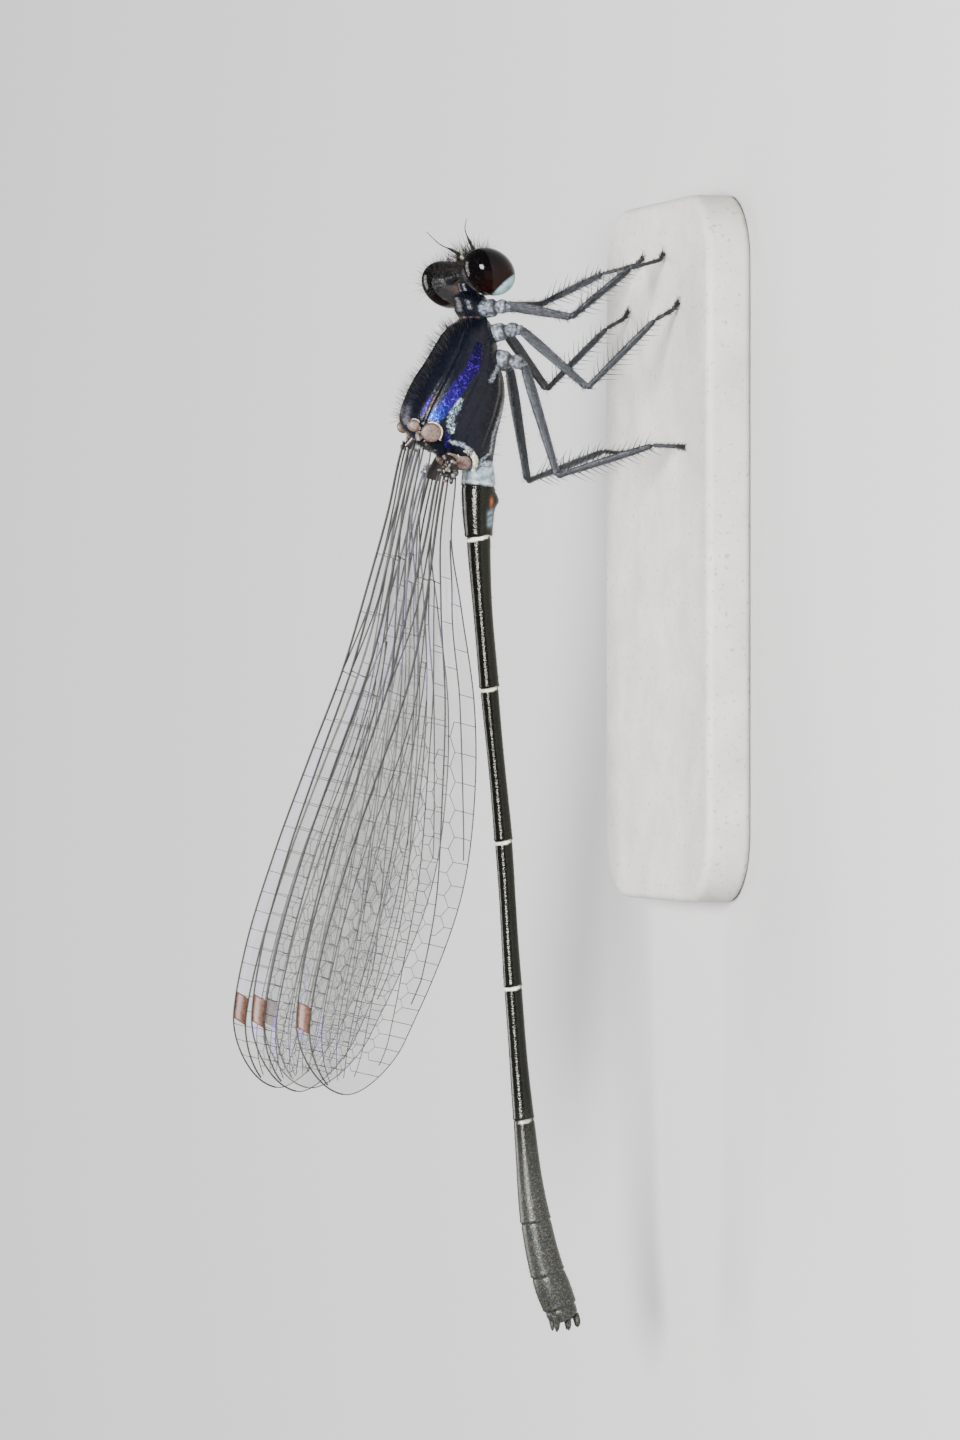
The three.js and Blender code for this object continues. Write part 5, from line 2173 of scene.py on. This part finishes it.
class BoxShape(Enum):
    """The outline of a soft box."""

    ROUND = "ELLIPSE"
    OBLONG = "RECTANGLE"


@dataclass(frozen=True)
class SoftBox:
    """A soft light: where it hangs, its size and its power."""

    name: str
    place: Triple
    size: tuple[float, float]
    power: float
    shape: BoxShape = BoxShape.OBLONG

    def hang(self, target: np.ndarray) -> None:
        """Hangs the light so that it faces a place.

        Args:
            target: The place, in millimetres.
        """
        data = bpy.data.lights.new(self.name, "AREA")
        data.shape = self.shape.value
        data.size, data.size_y = self.size[0] * MM, self.size[1] * MM
        data.energy = self.power
        light = bpy.data.objects.new(self.name, data)
        back = Vector(np.array(self.place) - target).normalized()
        long = Vector((0, 1, 0))
        long = (long - back * long.dot(back)).normalized()
        turn = Matrix((long.cross(back), long, back)).transposed()
        light.matrix_world = Matrix.Translation(Vector(np.array(self.place) * MM)) @ turn.to_4x4()
        bpy.context.scene.collection.objects.link(light)


@dataclass
class Studio:
    """The floor, the lights and the camera."""

    frame_size: tuple[int, int] = (960, 1440)
    pixel: float = 0.0436
    middle_pixel: tuple[float, float] = (480.0, 720.0)
    floor_pixel: float = 656.0
    zero_pixel: float = 550.0
    distance: float = 340.0
    floor_half: float = 3000.0
    surround: Colour = (0.95, 0.97, 1.0)
    surround_strength: float = 0.2
    boxes: tuple[SoftBox, ...] = (
        SoftBox("key", (-250, -10, 225), (110, 128), 3.8, BoxShape.ROUND),
        SoftBox("fill", (-300, 220, 90), (260, 260), 0.12),
        SoftBox("rim", (230, 20, 300), (160, 260), 1.7),
    )

    def build(self, look: Finishes) -> None:
        """Sets up the floor, the lights and the camera.

        Args:
            look: The finishes.
        """
        self.floor(look)
        self.lights()
        self.camera()

    def target(self) -> np.ndarray:
        """The place at the middle of the photo.

        Returns:
            The place, in millimetres.
        """
        y = (self.middle_pixel[1] - self.zero_pixel) * self.pixel
        z = (self.floor_pixel - self.middle_pixel[0]) * self.pixel / math.cos(CAMERA_TILT)
        return np.array([0, y, z + BASE_TOP])

    def floor(self, look: Finishes) -> None:
        """A wide pale floor under the base.

        Args:
            look: The finishes.
        """
        size = self.floor_half * MM
        mesh = bpy.data.meshes.new("floor")
        corners = [(-size, -size, 0), (size, -size, 0), (size, size, 0), (-size, size, 0)]
        mesh.from_pydata(corners, [], [(0, 1, 2, 3)])
        mesh.materials.append(look.floor)
        floor = bpy.data.objects.new("floor", mesh)
        bpy.context.scene.collection.objects.link(floor)

    def lights(self) -> None:
        """Soft boxes round the insect and a pale surround."""
        world = bpy.data.worlds.new("studio")
        bpy.context.scene.world = world
        world.use_nodes = True
        background = world.node_tree.nodes["Background"]
        background.inputs["Color"].default_value = (*self.surround, 1)
        background.inputs["Strength"].default_value = self.surround_strength
        for box in self.boxes:
            box.hang(self.target())

    def camera(self) -> None:
        """The camera at the photo's angle, turned so that the head is up."""
        data = bpy.data.cameras.new("camera")
        data.sensor_fit = "VERTICAL"
        data.sensor_height = 36
        data.lens = data.sensor_height * self.distance / (self.frame_size[1] * self.pixel)
        data.clip_start = 0.01
        data.clip_end = 20
        back = Vector((-math.cos(CAMERA_TILT), 0, math.sin(CAMERA_TILT)))
        up = Vector((0, -1, 0))
        right = up.cross(back)
        turn = Matrix((right, up, back)).transposed()
        camera = bpy.data.objects.new("camera", data)
        place = Vector(self.target() * MM) + back * self.distance * MM
        camera.matrix_world = Matrix.Translation(place) @ turn.to_4x4()
        bpy.context.scene.collection.objects.link(camera)
        bpy.context.scene.camera = camera


def register(piece: bpy.types.Object, slot: str, *nodes: str) -> None:
    """Ties a finished piece to the frame.

    Args:
        piece: The piece.
        slot: A material slot in the record; not used.
        nodes: The nodes that it stands for.
    """
    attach(piece, BODY)
    if nodes:
        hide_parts(*nodes)
    LOG.info("%s: %d faces", piece.name, len(piece.data.polygons))


def main() -> None:
    """Builds the insect, its base and the studio, piece by piece."""
    logging.basicConfig(level=logging.INFO, format="%(name)s %(message)s")
    look = Finishes()
    Studio().build(look)
    DisplayBase().build(look)
    Head().build(look)
    Thorax().build(look)
    Abdomen().build(look)
    for plan in LEGS:
        for side in Side:
            Leg(plan, side).build(look)
    for side in Side:
        for plan in WINGS:
            Wing(plan, side).build(look)


if __name__ == "__main__":
    main()
